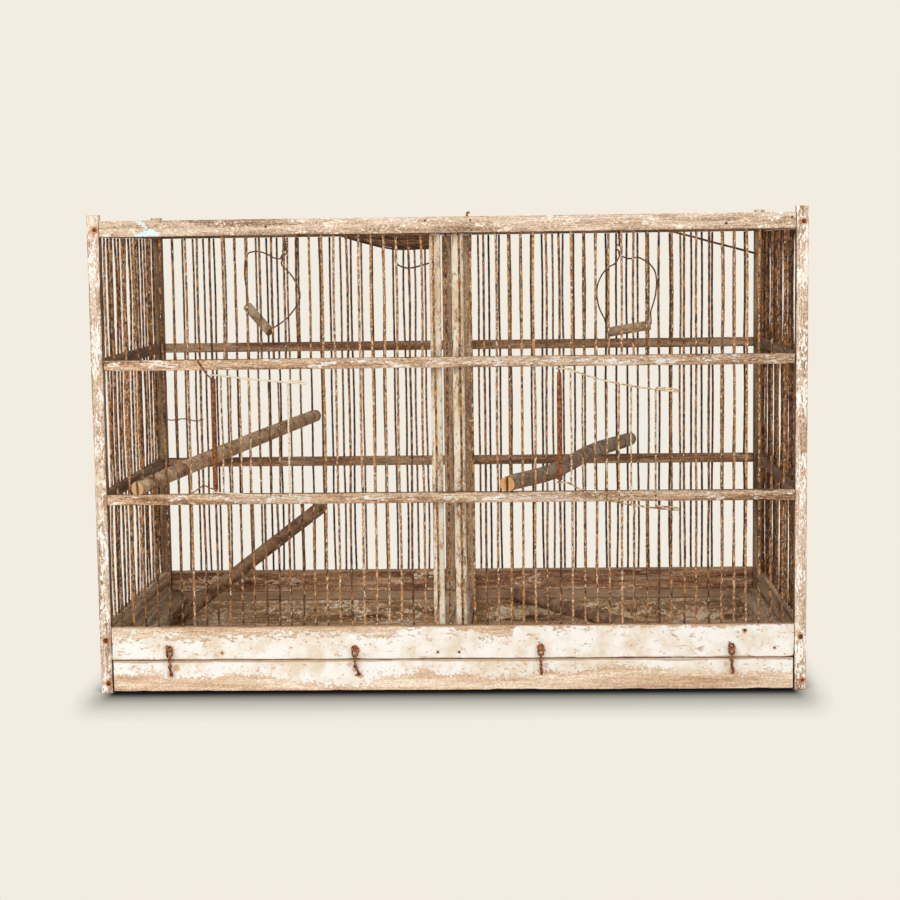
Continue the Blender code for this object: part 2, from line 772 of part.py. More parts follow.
def build_slotted_perch(name, front, back, radius):
    """A perch that stands past two wires, with a saw cut in each end that takes the wire."""
    front, back = Vector(front), Vector(back)
    into = (back - front).normalized()
    start = front - into * perch_stand
    end = back + into * perch_stand
    perch = rod(name, start, end, radius, 12)
    join(perch, saw_cut(f"{name}_front_cut", start, into), "DIFFERENCE")
    join(perch, saw_cut(f"{name}_back_cut", end, -into), "DIFFERENCE")


def build_perches():
    for side, radius, bars, rise in (
        ("left", left_perch_radius, left_perch_bars, left_perch_back_rise),
        ("right", perch_radius, right_perch_bars, right_perch_back_rise),
    ):
        front = (bar_x(bars[0]), front_bar_y, lower_slat_top + radius + perch_seat)
        back = (bar_x(bars[1]), back_bar_y, lower_slat_top + rise)
        build_slotted_perch(f"{side}_perch", front, back, radius)
    floor = tray_floor_z + perch_radius + perch_seat
    aside, off_back = fallen_left_foot_gaps
    foot = Vector((aside - inner_half_width, tray_back_y - off_back, floor))
    lean_y = back_bar_y - bar_radius - clearance - perch_radius
    head = Vector((fallen_left_head_gap - inner_half_width, lean_y, board_top + fallen_left_head_rise))
    rod("left_fallen_perch", foot, head, perch_radius, 12)
    aside, off_front = fallen_right_foot_gaps
    foot = Vector((inner_half_width - aside, tray_front_y + off_front, floor))
    rod("right_fallen_perch", foot, Vector(rim_place(foot)), perch_radius, 12)


def rim_place(foot):
    """The head of a fallen perch, whose end leans on the back board and rests on the tray's rim."""
    wall = half_depth - board_thickness
    head_x = centre_half_width + fallen_right_head_gap
    aside = abs(foot[0] - head_x)
    share = aside / hypot(aside, wall - foot[1])
    y = wall - clearance - perch_radius * share
    off = max(0.0, tray_back_y - tray_sheet - y) / share
    height = sqrt(max(0.0, perch_radius ** 2 - off ** 2))
    return (head_x, y, tray_top + height + perch_seat)


clear_scene()
parts = new_collection("wire_birdcage")
cutters = new_collection("cutters")
build_posts_and_rails()
build_flap_hinges(*build_boards())
build_grilles()
build_centre()
build_roof()
build_trays()
left_low = (left_door_low_z, 0.0, left_droop_length)
left_high = (left_door_high_z, left_door_droop, left_droop_length)
build_door("left", left_door_bar, left_door_open, left_low, left_high)
right_low = (right_door_low_z, right_low_droop, right_low_droop_length)
right_high = (right_door_high_z, right_high_droop, right_high_droop_length)
build_door("right", right_door_bar, right_door_open, right_low, right_high, (right_door_lost_bar,))
build_coil("left", left_door_bar, left_door_low_z, left_door_high_z)
build_coil("right", right_door_bar, right_door_low_z, right_door_high_z)
build_tie_wire()
left_loop = (left_loop_half_width, left_loop_side_drop)
build_swing("left", left_swing_x, left_swing_turn, left_swing_lean, *left_loop)
right_loop = (right_loop_half_width, right_loop_side_drop)
build_swing("right", right_swing_x, right_swing_turn, right_swing_lean, *right_loop)
build_perches()
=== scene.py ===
"""Looks of an old wire birdcage: peeling paint on weathered wood, rusty wires, doors, swings and perches.

Places are in metres, in the frame of the CAD model. mm() and MM turn millimetres into metres.
"""

import random
from math import asin, cos, exp, pi, radians, sin

import bmesh
import bpy
from mathutils import Matrix, Vector, noise


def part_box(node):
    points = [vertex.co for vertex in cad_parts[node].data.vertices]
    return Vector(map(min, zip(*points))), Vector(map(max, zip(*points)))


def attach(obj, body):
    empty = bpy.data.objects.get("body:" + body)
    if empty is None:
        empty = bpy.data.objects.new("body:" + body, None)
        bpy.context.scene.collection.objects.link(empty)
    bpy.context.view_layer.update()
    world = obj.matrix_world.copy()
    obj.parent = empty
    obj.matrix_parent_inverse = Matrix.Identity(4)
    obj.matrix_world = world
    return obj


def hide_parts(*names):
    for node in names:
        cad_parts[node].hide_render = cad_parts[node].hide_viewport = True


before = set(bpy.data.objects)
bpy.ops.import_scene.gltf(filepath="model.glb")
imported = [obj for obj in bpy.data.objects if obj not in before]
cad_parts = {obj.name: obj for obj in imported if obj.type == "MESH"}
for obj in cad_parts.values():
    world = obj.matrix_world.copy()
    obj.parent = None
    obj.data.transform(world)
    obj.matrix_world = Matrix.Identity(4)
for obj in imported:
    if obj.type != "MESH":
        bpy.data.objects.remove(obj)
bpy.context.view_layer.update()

MM = 0.001


def mm(*lengths):
    return tuple(length * MM for length in lengths)


FACE_Y = -174.5 * MM  # the front of the posts, rails and boards
BOARD_END = 345 * MM  # half the length of the front boards
OUTER = (357.5, 174.5, 478.7)  # the frame's outer faces and the rails' top, in mm

# ---- Node helpers


def srgb(red, green, blue):
    """A colour written as it looks on the screen, 0 to 255, as the shader's linear one."""
    linear = []
    for value in (red / 255, green / 255, blue / 255):
        linear.append(value / 12.92 if value <= 0.04045 else ((value + 0.055) / 1.055) ** 2.4)
    return (*linear, 1.0)


class Look:
    """A material whose nodes are made in code. Places are the piece's own, in metres."""

    def __init__(self, name, metallic=0.0, specular=0.5):
        self.material = bpy.data.materials.new(name)
        self.material.use_nodes = True
        self.nodes = self.material.node_tree.nodes
        self.links = self.material.node_tree.links
        self.shader = self.nodes["Principled BSDF"]
        self.feed(self.shader, {"Metallic": metallic, "Specular IOR Level": specular})
        self.place = self.node("TexCoord", {})["Object"]
        self.axes = self.node("SeparateXYZ", {0: self.place})

    def feed(self, node, feeds):
        """Gives each named or numbered input its socket or its constant."""
        for name, value in feeds.items():
            if isinstance(value, bpy.types.NodeSocket):
                self.links.new(value, node.inputs[name])
            else:
                node.inputs[name].default_value = value

    def node(self, kind, feeds, **settings):
        """The outputs of a new node."""
        node = self.nodes.new("ShaderNode" + kind)
        for name, value in settings.items():
            setattr(node, name, value)
        self.feed(node, feeds)
        return node.outputs

    def math(self, operation, a, b=0.0):
        return self.node("Math", {0: a, 1: b}, operation=operation)[0]

    def plus(self, a, b):
        return self.math("ADD", a, b)

    def minus(self, a, b):
        return self.math("SUBTRACT", a, b)

    def times(self, a, b):
        return self.math("MULTIPLY", a, b)

    def swing(self, value, gain):
        """A noise made to swing round 0 in place of 0.5."""
        return self.times(self.minus(value, 0.5), gain)

    def stretched(self, factors, shift=(0, 0, 0)):
        return self.node("VectorMath", {0: self.place, 1: factors, 2: shift}, operation="MULTIPLY_ADD")[0]

    def noise(self, vector, scale, detail=3.0, rough=0.55, bend=0.0):
        feeds = {"Vector": vector, "Scale": scale, "Detail": detail, "Roughness": rough, "Distortion": bend}
        return self.node("TexNoise", feeds)["Fac"]

    def span(self, value, low, high, to_low=0.0, to_high=1.0, smooth=True):
        feeds = {"Value": value, "From Min": low, "From Max": high, "To Min": to_low, "To Max": to_high}
        return self.node("MapRange", feeds, interpolation_type="SMOOTHSTEP" if smooth else "LINEAR")["Result"]

    def ramp(self, value, stops):
        """A colour ramp. stops are (place, linear colour or grey)."""
        node = self.nodes.new("ShaderNodeValToRGB")
        self.links.new(value, node.inputs[0])
        elements = node.color_ramp.elements
        while len(elements) < len(stops):
            elements.new(0.5)
        for element, (place, colour) in zip(elements, stops):
            element.position = place
        for element, (place, colour) in zip(elements, stops):
            element.color = colour if isinstance(colour, tuple) else (colour, colour, colour, 1)
        return node.outputs["Color"]

    def tones(self, value, places, tones):
        """A colour ramp through screen colours."""
        return self.ramp(value, [(place, srgb(*tone)) for place, tone in zip(places, tones)])

    def mix(self, factor, a, b, kind="MIX"):
        return self.node("Mix", {0: factor, 6: a, 7: b}, data_type="RGBA", blend_type=kind)[2]

    def attribute(self, name):
        return self.node("Attribute", {}, attribute_name=name)["Fac"]

    def spot(self, x, z, radius, seed):
        """1 inside a ragged round spot on the front of the cage, and 0 outside it."""
        place = (x * MM, FACE_Y, z * MM)
        away = self.node("VectorMath", {0: self.place, 1: place}, operation="DISTANCE")["Value"]
        rag = self.noise(self.stretched((1, 1, 1), (seed, seed, seed)), 1.2 / radius, 4, 0.6)
        return self.span(self.plus(away, self.swing(rag, 2 * radius)), radius * 1.15, radius * 0.8)

    def finish(self, colour, rough, height, strength, distance):
        bump = self.node("Bump", {"Strength": strength, "Distance": distance, "Height": height})["Normal"]
        self.feed(self.shader, {"Base Color": colour, "Roughness": rough, "Normal": bump})
        return self.material


# ---- Materials

PAINT = ((226, 209, 186), (243, 239, 233))
RIM = (210, 146, 94)


def aged_wood(
    name, grain, tones, cover=0.5, paint=PAINT, line=None, edge_bare=0.25, patch=45, stretch=2.6, fleck=0.5,
    seed=0.0, spots=(), bands=(), metal=0.0, within=None, grit=1.0, fade=0.0,
):
    """Wood with what is left of its paint.

    grain is the grain's axis, and tones are the bare wood's (dark, mid, light).
    cover is how much paint is left, and edge_bare how bare the edges are.
    line is the paint's border along a board: (places and heights, lowest, highest, side, reach).
    patch, stretch and fleck are the flakes' number, length and strength.
    spots are (x, z, radius, tone, strength) on the front, bands are heights (low, high, tone, strength).
    within gives the tones of the faces that look into the cage, which are bare.
    metal is how metallic bare places are, grit the grain's strength, fade how much the right end darkens.
    """
    look = Look(name, specular=0.25)
    shift = (seed, seed * 1.7, seed * 0.6)

    def pulled(share):
        factors = [1.0, 1.0, 1.0]
        factors[grain] = 1 / share
        return look.stretched(factors, shift)

    broad = look.noise(pulled(14), 110, 4, 0.62, 0.4)
    fine = look.noise(pulled(14), 950, 3, 0.7)
    speck = look.noise(pulled(3), 1100, 2, 0.6)
    dust = look.noise(pulled(1), 420, 4, 0.75)
    value = look.plus(broad, look.swing(dust, 0.5))
    dim = 1 - 0.4 * grit
    streak = look.times(look.span(fine, 0.36, 0.6, dim, 1.1), look.span(speck, 0.38, 0.6, dim, 1.14))
    streak = look.ramp(look.times(streak, 0.8), [(0.0, 0.0), (1.0, 1.25)])

    def bare(tones):
        return look.mix(1.0, look.tones(value, (0.32, 0.5, 0.66), tones), streak, "MULTIPLY")

    wood = bare(tones)
    big = look.noise(pulled(stretch), patch, 5, 0.62, 0.3)
    small = look.noise(pulled(stretch * 0.7), patch * 5, 4, 0.7)
    field = look.plus(look.swing(big, 2.2), look.swing(small, 2.2 * fleck))
    field = look.plus(field, (cover - 0.5) * 1.2)
    worn = look.attribute("edge")
    field = look.minus(field, look.times(worn, edge_bare))
    if line:
        stops, low, high, sign, reach = line
        share = look.span(look.axes[0], -BOARD_END, BOARD_END, smooth=False)
        border = look.ramp(share, [(place, (z - low) / (high - low)) for place, z in stops])
        border = look.span(border, 0, 1, low * MM, high * MM, smooth=False)
        past = look.minus(look.axes[2], border)
        soft = reach * 2.2 * MM
        field = look.plus(field, look.span(past, -soft, soft, -0.9 * sign, 0.9 * sign, smooth=False))
    if within:
        places = (look.math("ABSOLUTE", look.axes[0]), look.math("ABSOLUTE", look.axes[1]), look.axes[2])
        inside = [look.span(at, (face - 0.3) * MM, (face - 0.8) * MM) for at, face in zip(places, OUTER)]
        turned = look.times(look.times(inside[0], inside[1]), inside[2])
        field = look.minus(field, look.times(turned, 0.9))
        wood = look.mix(turned, wood, bare(within))
    chips = look.noise(pulled(stretch * 0.8), 170, 4, 0.7, 0.5)
    field = look.minus(field, look.span(chips, 0.57, 0.66, 0, 1.5))
    left = look.span(field, -0.015, 0.015)
    near = look.times(look.span(field, -0.2, 0.0), 0.65)
    if within:
        near = look.times(near, look.minus(1.0, turned))
    rim, stained = srgb(*RIM), srgb(*paint[0])
    wood = look.mix(near, wood, rim)
    soil = look.noise(look.stretched((1, 1, 1), shift), 28, 5, 0.65)
    coat = look.tones(soil, (0.37, 0.55), paint)
    coat = look.mix(look.times(worn, 0.35), coat, stained)
    coat = look.mix(look.span(speck, 0.4, 0.28, 0, 0.35), coat, rim)
    coat = look.mix(look.span(look.noise(pulled(1.5), 300, 1, 0.5), 0.69, 0.74, 0, 0.7), coat, rim)
    coat = look.mix(look.span(field, 0.1, 0.0, 0, 0.35), coat, stained)
    colour = look.mix(left, wood, coat)
    if fade:
        shade = look.span(look.axes[0], -BOARD_END, BOARD_END, 1.0, 1 - 2 * fade, smooth=False)
        colour = look.mix(1.0, colour, look.ramp(shade, [(0.0, 0.0), (1.0, 1.0)]), "MULTIPLY")
    if bands:
        level = look.plus(look.axes[2], look.swing(look.noise(pulled(1), 24, 4, 0.6), 5 * MM))
    for low, high, tone, strength in bands:
        soft = min(0.4, (high - low) / 3) * MM
        above = look.span(level, low * MM - soft, low * MM + soft)
        inside = look.times(above, look.span(level, high * MM + soft, high * MM - soft))
        colour = look.mix(look.times(inside, strength), colour, srgb(*tone))
    for x, z, radius, tone, strength in spots:
        radius *= MM
        hit = look.times(look.spot(x, z, radius, seed + radius * 977), strength)
        colour = look.mix(hit, colour, srgb(*tone))
    height = look.plus(look.plus(look.times(left, 0.8), look.times(fine, 0.5)), look.times(dust, 0.35))
    if metal:
        look.feed(look.shader, {"Metallic": look.span(left, 0, 1, metal, 0, smooth=False)})
    return look.finish(colour, look.span(left, 0, 1, 0.88, 0.62, smooth=False), height, 0.7, 0.35 * MM)


def rusty(name, tones, flecks, cover, seed, long=2.5, axis=2):
    """Rusted wire. tones are (dark, mid, orange), flecks is the tone of the paint left, and long its shape."""
    look = Look(name, 0.25, 0.3)
    shift = (seed, seed * 0.7, seed * 1.3)
    stretch = [1.0, 1.0, 1.0]
    stretch[axis] = 1 / long
    blotch = look.noise(look.stretched(stretch, shift), 330, 4, 0.68)
    grit = look.noise(look.stretched((1, 1, 1), shift), 1300, 3, 0.7)
    tint = look.attribute("tint")
    value = look.plus(look.plus(blotch, look.swing(grit, 0.8)), look.times(tint, 0.14))
    rust = look.tones(value, (0.38, 0.5, 0.61), tones)
    chips = look.noise(look.stretched(stretch, shift[::-1]), 560, 4, 0.72)
    field = look.plus(look.minus(chips, 0.5), (cover - 0.5) * 0.5)
    left = look.span(look.plus(field, look.times(tint, 0.1)), -0.01, 0.03)
    colour = look.mix(left, rust, srgb(*flecks))
    height = look.plus(look.times(left, 0.6), grit)
    return look.finish(colour, look.span(left, 0, 1, 0.82, 0.65, smooth=False), height, 0.6, 0.25 * MM)


def bark(name, tones, seed, ring, sawn_tone=(214, 160, 108)):
    """A stick with rings across it. The mesh says how far along it a place is, and where it is sawn."""
    look = Look(name, specular=0.2)
    place = look.stretched((1, 1, 1), (seed, seed * 1.9, seed * 0.4))
    wander = look.times(look.noise(place, 70, 3, 0.6), 9 * MM)
    wave = look.math("SINE", look.times(look.plus(look.attribute("along"), wander), 2 * pi / (5.2 * MM)))
    rings = look.span(wave, 0.35, 0.95, 0, ring)
    broad = look.noise(place, 85, 5, 0.7)
    grit = look.noise(place, 700, 4, 0.75)
    colour = look.tones(look.plus(broad, look.swing(grit, 0.7)), (0.34, 0.5, 0.68), tones)
    colour = look.mix(look.times(rings, 0.55), colour, srgb(*tones[0]))
    sawn = look.times(look.attribute("cut"), look.span(grit, 0.3, 0.62, 0.5, 1.0))
    colour = look.mix(sawn, colour, srgb(*sawn_tone))
    height = look.minus(look.times(grit, 0.8), look.times(rings, 0.7))
    return look.finish(colour, 0.88, height, 0.8, 0.5 * MM)


# ---- Meshes

EDGE_FADE = 1.3 * MM  # how far the worn look of an edge reaches
SIDES = (("left", -1), ("right", 1))


def link(name, shape, look, body, node, smooth):
    """Makes the piece, and puts it on its body and in the place of its CAD node."""
    mesh = bpy.data.meshes.new(name)
    shape.normal_update()
    shape.to_mesh(mesh)
    shape.free()
    mesh.shade_smooth()
    mesh.set_sharp_from_angle(angle=radians(smooth))
    mesh.materials.append(look)
    piece = bpy.data.objects.new(name, mesh)
    bpy.context.scene.collection.objects.link(piece)
    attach(piece, body)
    if node:
        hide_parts(node)


def link_wire(name, shape, look, node=None, body="cage"):
    link(name, shape, look, body, node, 60)


def layer(shape, name):
    """A number that the mesh keeps for each vertex and the materials read."""
    return shape.verts.layers.float.get(name) or shape.verts.layers.float.new(name)


def skin(shape, rings, forward=True, caps=True):
    """Adds the faces between rings of vertices, and those over both ends."""
    for a, b in zip(rings, rings[1:]):
        for n in range(len(a)):
            m = (n + 1) % len(a)
            corners = (a[n], a[m], b[m], b[n])
            shape.faces.new(corners if forward else corners[::-1])
    if caps:
        shape.faces.new(rings[0][::-1] if forward else rings[0])
        shape.faces.new(rings[-1] if forward else rings[-1][::-1])


def seed_of(text):
    """A number from 0 to 50 that is the same for the same text on each run."""
    return sum((place + 1) * ord(letter) for place, letter in enumerate(text)) % 997 / 20


def lines(low, high, step):
    """Places across a side of a plank: close together near its edges and even between them."""
    near = [t for t in mm(0, 0.45, 1.1, 2.2) if t < (high - low) * 0.42]
    inner_low, inner_high = low + near[-1], high - near[-1]
    count = max(1, round((inner_high - inner_low) / step))
    middle = [inner_low + (inner_high - inner_low) * n / count for n in range(1, count)]
    return [low + t for t in near] + middle + [high - t for t in reversed(near)]


def plank(shape, box, steps, wear, seed, groove=0.12):
    """Adds a sawn piece of wood with worn edges to the mesh, inside its box."""
    edge = layer(shape, "edge")
    spans = list(zip(box[0], box[1]))
    places = [lines(low, high, step) for (low, high), step in zip(spans, steps)]
    ends = [len(line) - 1 for line in places]
    longest = max(range(3), key=lambda axis: spans[axis][1] - spans[axis][0])
    made = {}

    def vertex(index):
        if index in made:
            return made[index]
        p = Vector([places[axis][index[axis]] for axis in range(3)])
        away = [min(p[axis] - spans[axis][0], spans[axis][1] - p[axis]) for axis in range(3)]
        chip = noise.noise(p * 55 + Vector((seed, seed, seed)))
        fray = noise.noise(p * 260 + Vector((seed, 0, seed)))
        reach = (0.45 + 0.35 * fray + 3.4 * max(0.0, chip - 0.22)) * wear * MM
        stretched = p * 340
        stretched[longest] /= 16
        ridge = (noise.noise(stretched + Vector((0, seed, 0))) * 0.5 + 0.5) * groove * MM
        q = p.copy()
        for axis in range(3):
            if index[axis] in (0, ends[axis]):
                inward = 1 if index[axis] == 0 else -1
                others = min(away[other] for other in range(3) if other != axis)
                q[axis] += inward * (max(0.0, reach - others) * 0.62 + ridge)
        v = shape.verts.new(q)
        v[edge] = exp(-sorted(away)[1] / EDGE_FADE)
        made[index] = v
        return v

    for axis in range(3):
        a, b = [other for other in range(3) if other != axis]
        for side in (0, ends[axis]):
            for i in range(ends[a]):
                for j in range(ends[b]):
                    corners = []
                    for di, dj in ((0, 0), (1, 0), (1, 1), (0, 1)):
                        index = [0, 0, 0]
                        index[axis], index[a], index[b] = side, i + di, j + dj
                        corners.append(vertex(tuple(index)))
                    if (side == 0) == (axis != 1):
                        corners.reverse()
                    shape.faces.new(corners)


def wood_piece(node, look, steps=None, body="cage"):
    """A worn plank that stands for a CAD node and has its box."""
    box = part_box(node)
    sides = [high - low for low, high in zip(box[0], box[1])]
    steps = steps or [3.5 * MM if side > 100 * MM else 2.2 * MM for side in sides]
    shape = bmesh.new()
    plank(shape, box, steps, 1.0, seed_of(node))
    link(f"{node}_worn", shape, look, body, node, 40)


def resampled(points, step):
    """Points at even steps along a line through the given ones."""
    points = [Vector(p) for p in points]
    lengths = [0.0]
    for a, b in zip(points, points[1:]):
        lengths.append(lengths[-1] + (b - a).length)
    count = max(1, round(lengths[-1] / step))
    found, at = [], 0
    for n in range(count + 1):
        want = lengths[-1] * n / count
        while at < len(points) - 2 and lengths[at + 1] < want:
            at += 1
        part = lengths[at + 1] - lengths[at]
        found.append(points[at].lerp(points[at + 1], (want - lengths[at]) / part if part else 0))
    return found


def rounded(points, parts=6):
    """A smooth line through the points (Catmull-Rom)."""
    points = [Vector(p) for p in points]
    padded = [points[0] * 2 - points[1]] + points + [points[-1] * 2 - points[-2]]
    found = []
    for a, b, c, d in zip(padded, padded[1:], padded[2:], padded[3:]):
        for n in range(parts):
            t = n / parts
            bend = (2 * a - 5 * b + 4 * c - d) * t * t + (3 * b - a - 3 * c + d) * t ** 3
            found.append(0.5 * (2 * b + (c - a) * t + bend))
    return found + [points[-1]]


def arc(centre, radius, start, turn, steps):
    angles = [start + turn * step / steps for step in range(steps + 1)]
    return [(centre[0] + radius * cos(angle), centre[1] + radius * sin(angle)) for angle in angles]


def tube(shape, points, radius, sides=8, lump=0.0, tint=0.0, seed=0.0, cycle=300):
    """Adds a round wire through the points, with lumps of rust on it."""
    tints = layer(shape, "tint")
    points = [Vector(p) for p in points]
    last = len(points) - 1
    heading = (points[1] - points[0]).normalized()
    normal = heading.orthogonal().normalized()
    rings = []
    for n, p in enumerate(points):
        ahead = (points[min(n + 1, last)] - points[max(n - 1, 0)]).normalized()
        normal = (normal - ahead * normal.dot(ahead)).normalized()
        across = ahead.cross(normal)
        ring = []
        for side in range(sides):
            angle = 2 * pi * side / sides
            out = normal * cos(angle) + across * sin(angle)
            swell = 1 + lump * noise.noise((p + out * radius) * cycle + Vector((seed, seed, 0)))
            v = shape.verts.new(p + out * radius * swell)
            v[tints] = tint
            ring.append(v)
        rings.append(ring)
    skin(shape, rings)


# ---- Camera, stage and light

BACKDROP = (243, 237, 225)


def build_camera():
    """The photograph's own camera, as fitted to the corners of the cage."""
    yaw, pitch, roll = 0.03652, -0.10459, 0.01322
    place, focal_pixels, picture_pixels = (0.0716, -2.0855, 0.4471), 1920.7, 900
    turn = Matrix.Rotation(yaw, 3, "Z") @ Matrix.Rotation(pitch, 3, "X") @ Matrix.Rotation(roll, 3, "Y")
    data = bpy.data.cameras.new("camera")
    data.sensor_width = 36
    data.lens = focal_pixels / picture_pixels * 36
    data.clip_start, data.clip_end = 0.05, 60
    camera = bpy.data.objects.new("camera", data)
    axes = Matrix((turn.col[0], turn.col[2], -turn.col[1])).transposed().to_4x4()
    camera.matrix_world = Matrix.Translation(place) @ axes
    bpy.context.scene.collection.objects.link(camera)
    bpy.context.scene.camera = camera


def split_rays(tree, seen, other, surface):
    """Gives one shader to what sees the background, straight or in a mirror, and the other one to the rest."""
    path, mix = tree.nodes.new("ShaderNodeLightPath"), tree.nodes.new("ShaderNodeMixShader")
    factor = path.outputs["Is Camera Ray"]
    for ray in ("Is Glossy Ray", "Is Transmission Ray"):
        either = tree.nodes.new("ShaderNodeMath")
        either.operation = "MAXIMUM"
        tree.links.new(factor, either.inputs[0])
        tree.links.new(path.outputs[ray], either.inputs[1])
        factor = either.outputs[0]
    for end, socket in zip((factor, other.outputs[0], seen.outputs[0]), mix.inputs):
        tree.links.new(end, socket)
    tree.links.new(mix.outputs[0], surface)


def build_world():
    world = bpy.data.worlds.new("studio")
    bpy.context.scene.world = world
    world.use_nodes = True
    tree = world.node_tree
    tree.nodes.clear()
    seen, fill = tree.nodes.new("ShaderNodeBackground"), tree.nodes.new("ShaderNodeBackground")
    seen.inputs[0].default_value = srgb(*BACKDROP)
    fill.inputs[0].default_value = srgb(246, 248, 250)
    fill.inputs[1].default_value = 0.7
    split_rays(tree, seen, fill, tree.nodes.new("ShaderNodeOutputWorld").inputs[0])


def floor_paper():
    """Pale paper with the cage's soft shadow painted into its colour, dark against the cage and gone a hand's
    width away from it.
    """
    look = Look("floor_paper")
    look.nodes.remove(look.shader)
    # painted contact shade: ambient occlusion darkens the paper's colour right against the cage
    near = look.nodes.new("ShaderNodeAmbientOcclusion")
    near.samples = 24
    near.inputs["Distance"].default_value = 0.03
    pale = (228, 223, 211)
    greys = ((70, 68, 64), (160, 156, 148), pale, BACKDROP)
    painted_contact_shade = look.tones(near.outputs["AO"], (0.35, 0.55, 0.8, 1.0), greys)

    def away(axis, edge, reach):
        """0 under the cage's edge, and 1 as far from it as its soft shadow reaches."""
        past = look.minus(look.math("ABSOLUTE", look.axes[axis]), edge)
        return look.math("POWER", look.math("DIVIDE", look.math("MAXIMUM", past, 0.0), reach), 2.0)

    # painted shadow: the paper's colour darkens with distance to the cage's footprint, reaching further in front
    # and behind than at the sides
    far = look.math("SQRT", look.plus(away("Y", 0.1745, 0.125), away("X", 0.343, 0.04)))
    soft = look.tones(
        far, (0.0, 0.05, 0.1, 0.18, 0.35, 0.7, 1.0),
        ((20, 21, 20), (48, 49, 47), (92, 90, 86), (142, 139, 131), (187, 184, 173), pale, BACKDROP),
    )
    dull, shown = look.nodes.new("ShaderNodeBsdfDiffuse"), look.nodes.new("ShaderNodeEmission")
    dull.inputs[0].default_value = srgb(*BACKDROP)
    look.feed(shown, {0: look.mix(1, painted_contact_shade, soft, "DARKEN")})
    split_rays(look.material.node_tree, shown, dull, look.nodes["Material Output"].inputs[0])
    return look.material


def build_stage():
    shape = bmesh.new()
    bmesh.ops.create_circle(shape, cap_ends=True, segments=96, radius=25)
    mesh = bpy.data.meshes.new("floor")
    shape.to_mesh(mesh)
    shape.free()
    mesh.materials.append(floor_paper())
    floor = bpy.data.objects.new("floor", mesh)
    bpy.context.scene.collection.objects.link(floor)
    for name, place, power in (("key", (-1.5, -2.4, 2.3), 51), ("fill", (2.0, -2.2, 1.2), 23)):
        lamp = bpy.data.lights.new(name, "AREA")
        lamp.size = 1.8
        lamp.energy = power
        holder = bpy.data.objects.new(name, lamp)
        holder.location = place
        holder.rotation_mode = "QUATERNION"
        holder.rotation_quaternion = (Vector((0, 0, 0.25)) - Vector(place)).to_track_quat("-Z", "Y")
        bpy.context.scene.collection.objects.link(holder)


bpy.context.scene.view_settings.view_transform = "Standard"
build_camera()
build_world()
build_stage()

# ---- Wood

PALE = ((134, 104, 78), (212, 186, 160), (238, 222, 204))
SLAT = ((142, 102, 70), (212, 174, 138), (240, 216, 188))
TAN = ((188, 146, 110), (220, 194, 166), (242, 225, 205))
GREY = ((98, 74, 52), (168, 136, 105), (214, 184, 152))
RED = ((98, 62, 40), (176, 130, 96), (230, 198, 164))
INNER = ((78, 55, 38), (122, 93, 68), (168, 138, 108))
TOP_PAINT = ((220, 202, 180), (235, 225, 209))
DIM_PAINT = ((150, 128, 104), (196, 180, 158))
BLUE = (208, 236, 243)
RUST = (188, 118, 62)

base_line = (
    ((0.0, 56.5), (0.1, 56.5), (0.2, 58.5), (0.28, 57), (0.34, 58.5), (0.4, 56.5), (0.44, 60), (0.47, 66),
     (0.505, 66.5), (0.53, 62), (0.56, 55.5), (0.585, 57), (0.6, 66), (0.64, 66.5), (0.66, 61), (0.69, 66),
     (0.8, 67), (1.0, 67)),
    30, 70, -1, 5.5,
)
flap_line = (
    ((0.0, 20), (0.05, 23), (0.09, 17), (0.14, 15), (0.17, 21), (0.23, 18), (0.27, 12), (0.31, 7), (0.38, 8),
     (0.41, 15), (0.46, 20), (0.52, 16), (0.57, 15), (0.6, 14), (0.63, 19), (0.7, 22), (0.78, 24), (0.84, 19),
     (0.88, 21), (0.93, 17), (0.97, 20), (1.0, 18)),
    0, 40, 1, 5.0,
)
top_spots = [
    (*spot, BLUE, 0.95)
    for spot in (
        (-298, 466, 3.2), (-292.5, 466.5, 3.6), (-287.5, 464.8, 2.6), (-300.5, 474.3, 1.6), (-298.3, 472, 1.4),
        (-303.5, 464.8, 2.4), (-308, 464.2, 1.8), (-303.5, 476.5, 1.8), (-307, 477.5, 1.3), (104, 480, 3.4),
        (330, 480, 3.2),
    )
]
base_spots = (
    (-287, 44, 3.0, RUST, 0.6), (-288.6, 56, 2.2, RUST, 0.6), (-97.3, 45, 3.4, RUST, 0.6),
    (90.8, 46, 3.4, RUST, 0.6), (284, 43, 3.2, RUST, 0.6), (296.1, 61.3, 3.2, RUST, 0.7),
    (-13.2, 40.8, 2.0, RUST, 0.6), (8.4, 40.7, 2.0, RUST, 0.6), (-232.6, 41, 2.6, RUST, 0.5),
    (325.8, 43.3, 2.2, RUST, 0.5), (-323, 63, 2.6, BLUE, 0.8), (306, 61, 1.8, BLUE, 0.7),
)
flap_spots = [
    (x, z, radius, RUST, strength)
    for x, z, radius, strength in (
        (-286.2, 20, 3.2, 0.5), (-279.5, 26, 3.6, 0.6), (-97.3, 24, 3.4, 0.5), (-92, 17, 3.2, 0.6),
        (-103, 29, 2.6, 0.5), (90.8, 20, 3.0, 0.5), (96, 27, 2.4, 0.4), (282.7, 20, 3.2, 0.5), (277, 27, 2.4, 0.4),
    )
]
post_spots = [
    (x, z, 4.2, RUST, 0.75)
    for x, z in ((-349.5, 469.9), (-351.5, 54.4), (-350, 9.6), (352.7, 469.3), (351.8, 54.6), (353.8, 9.8))
]

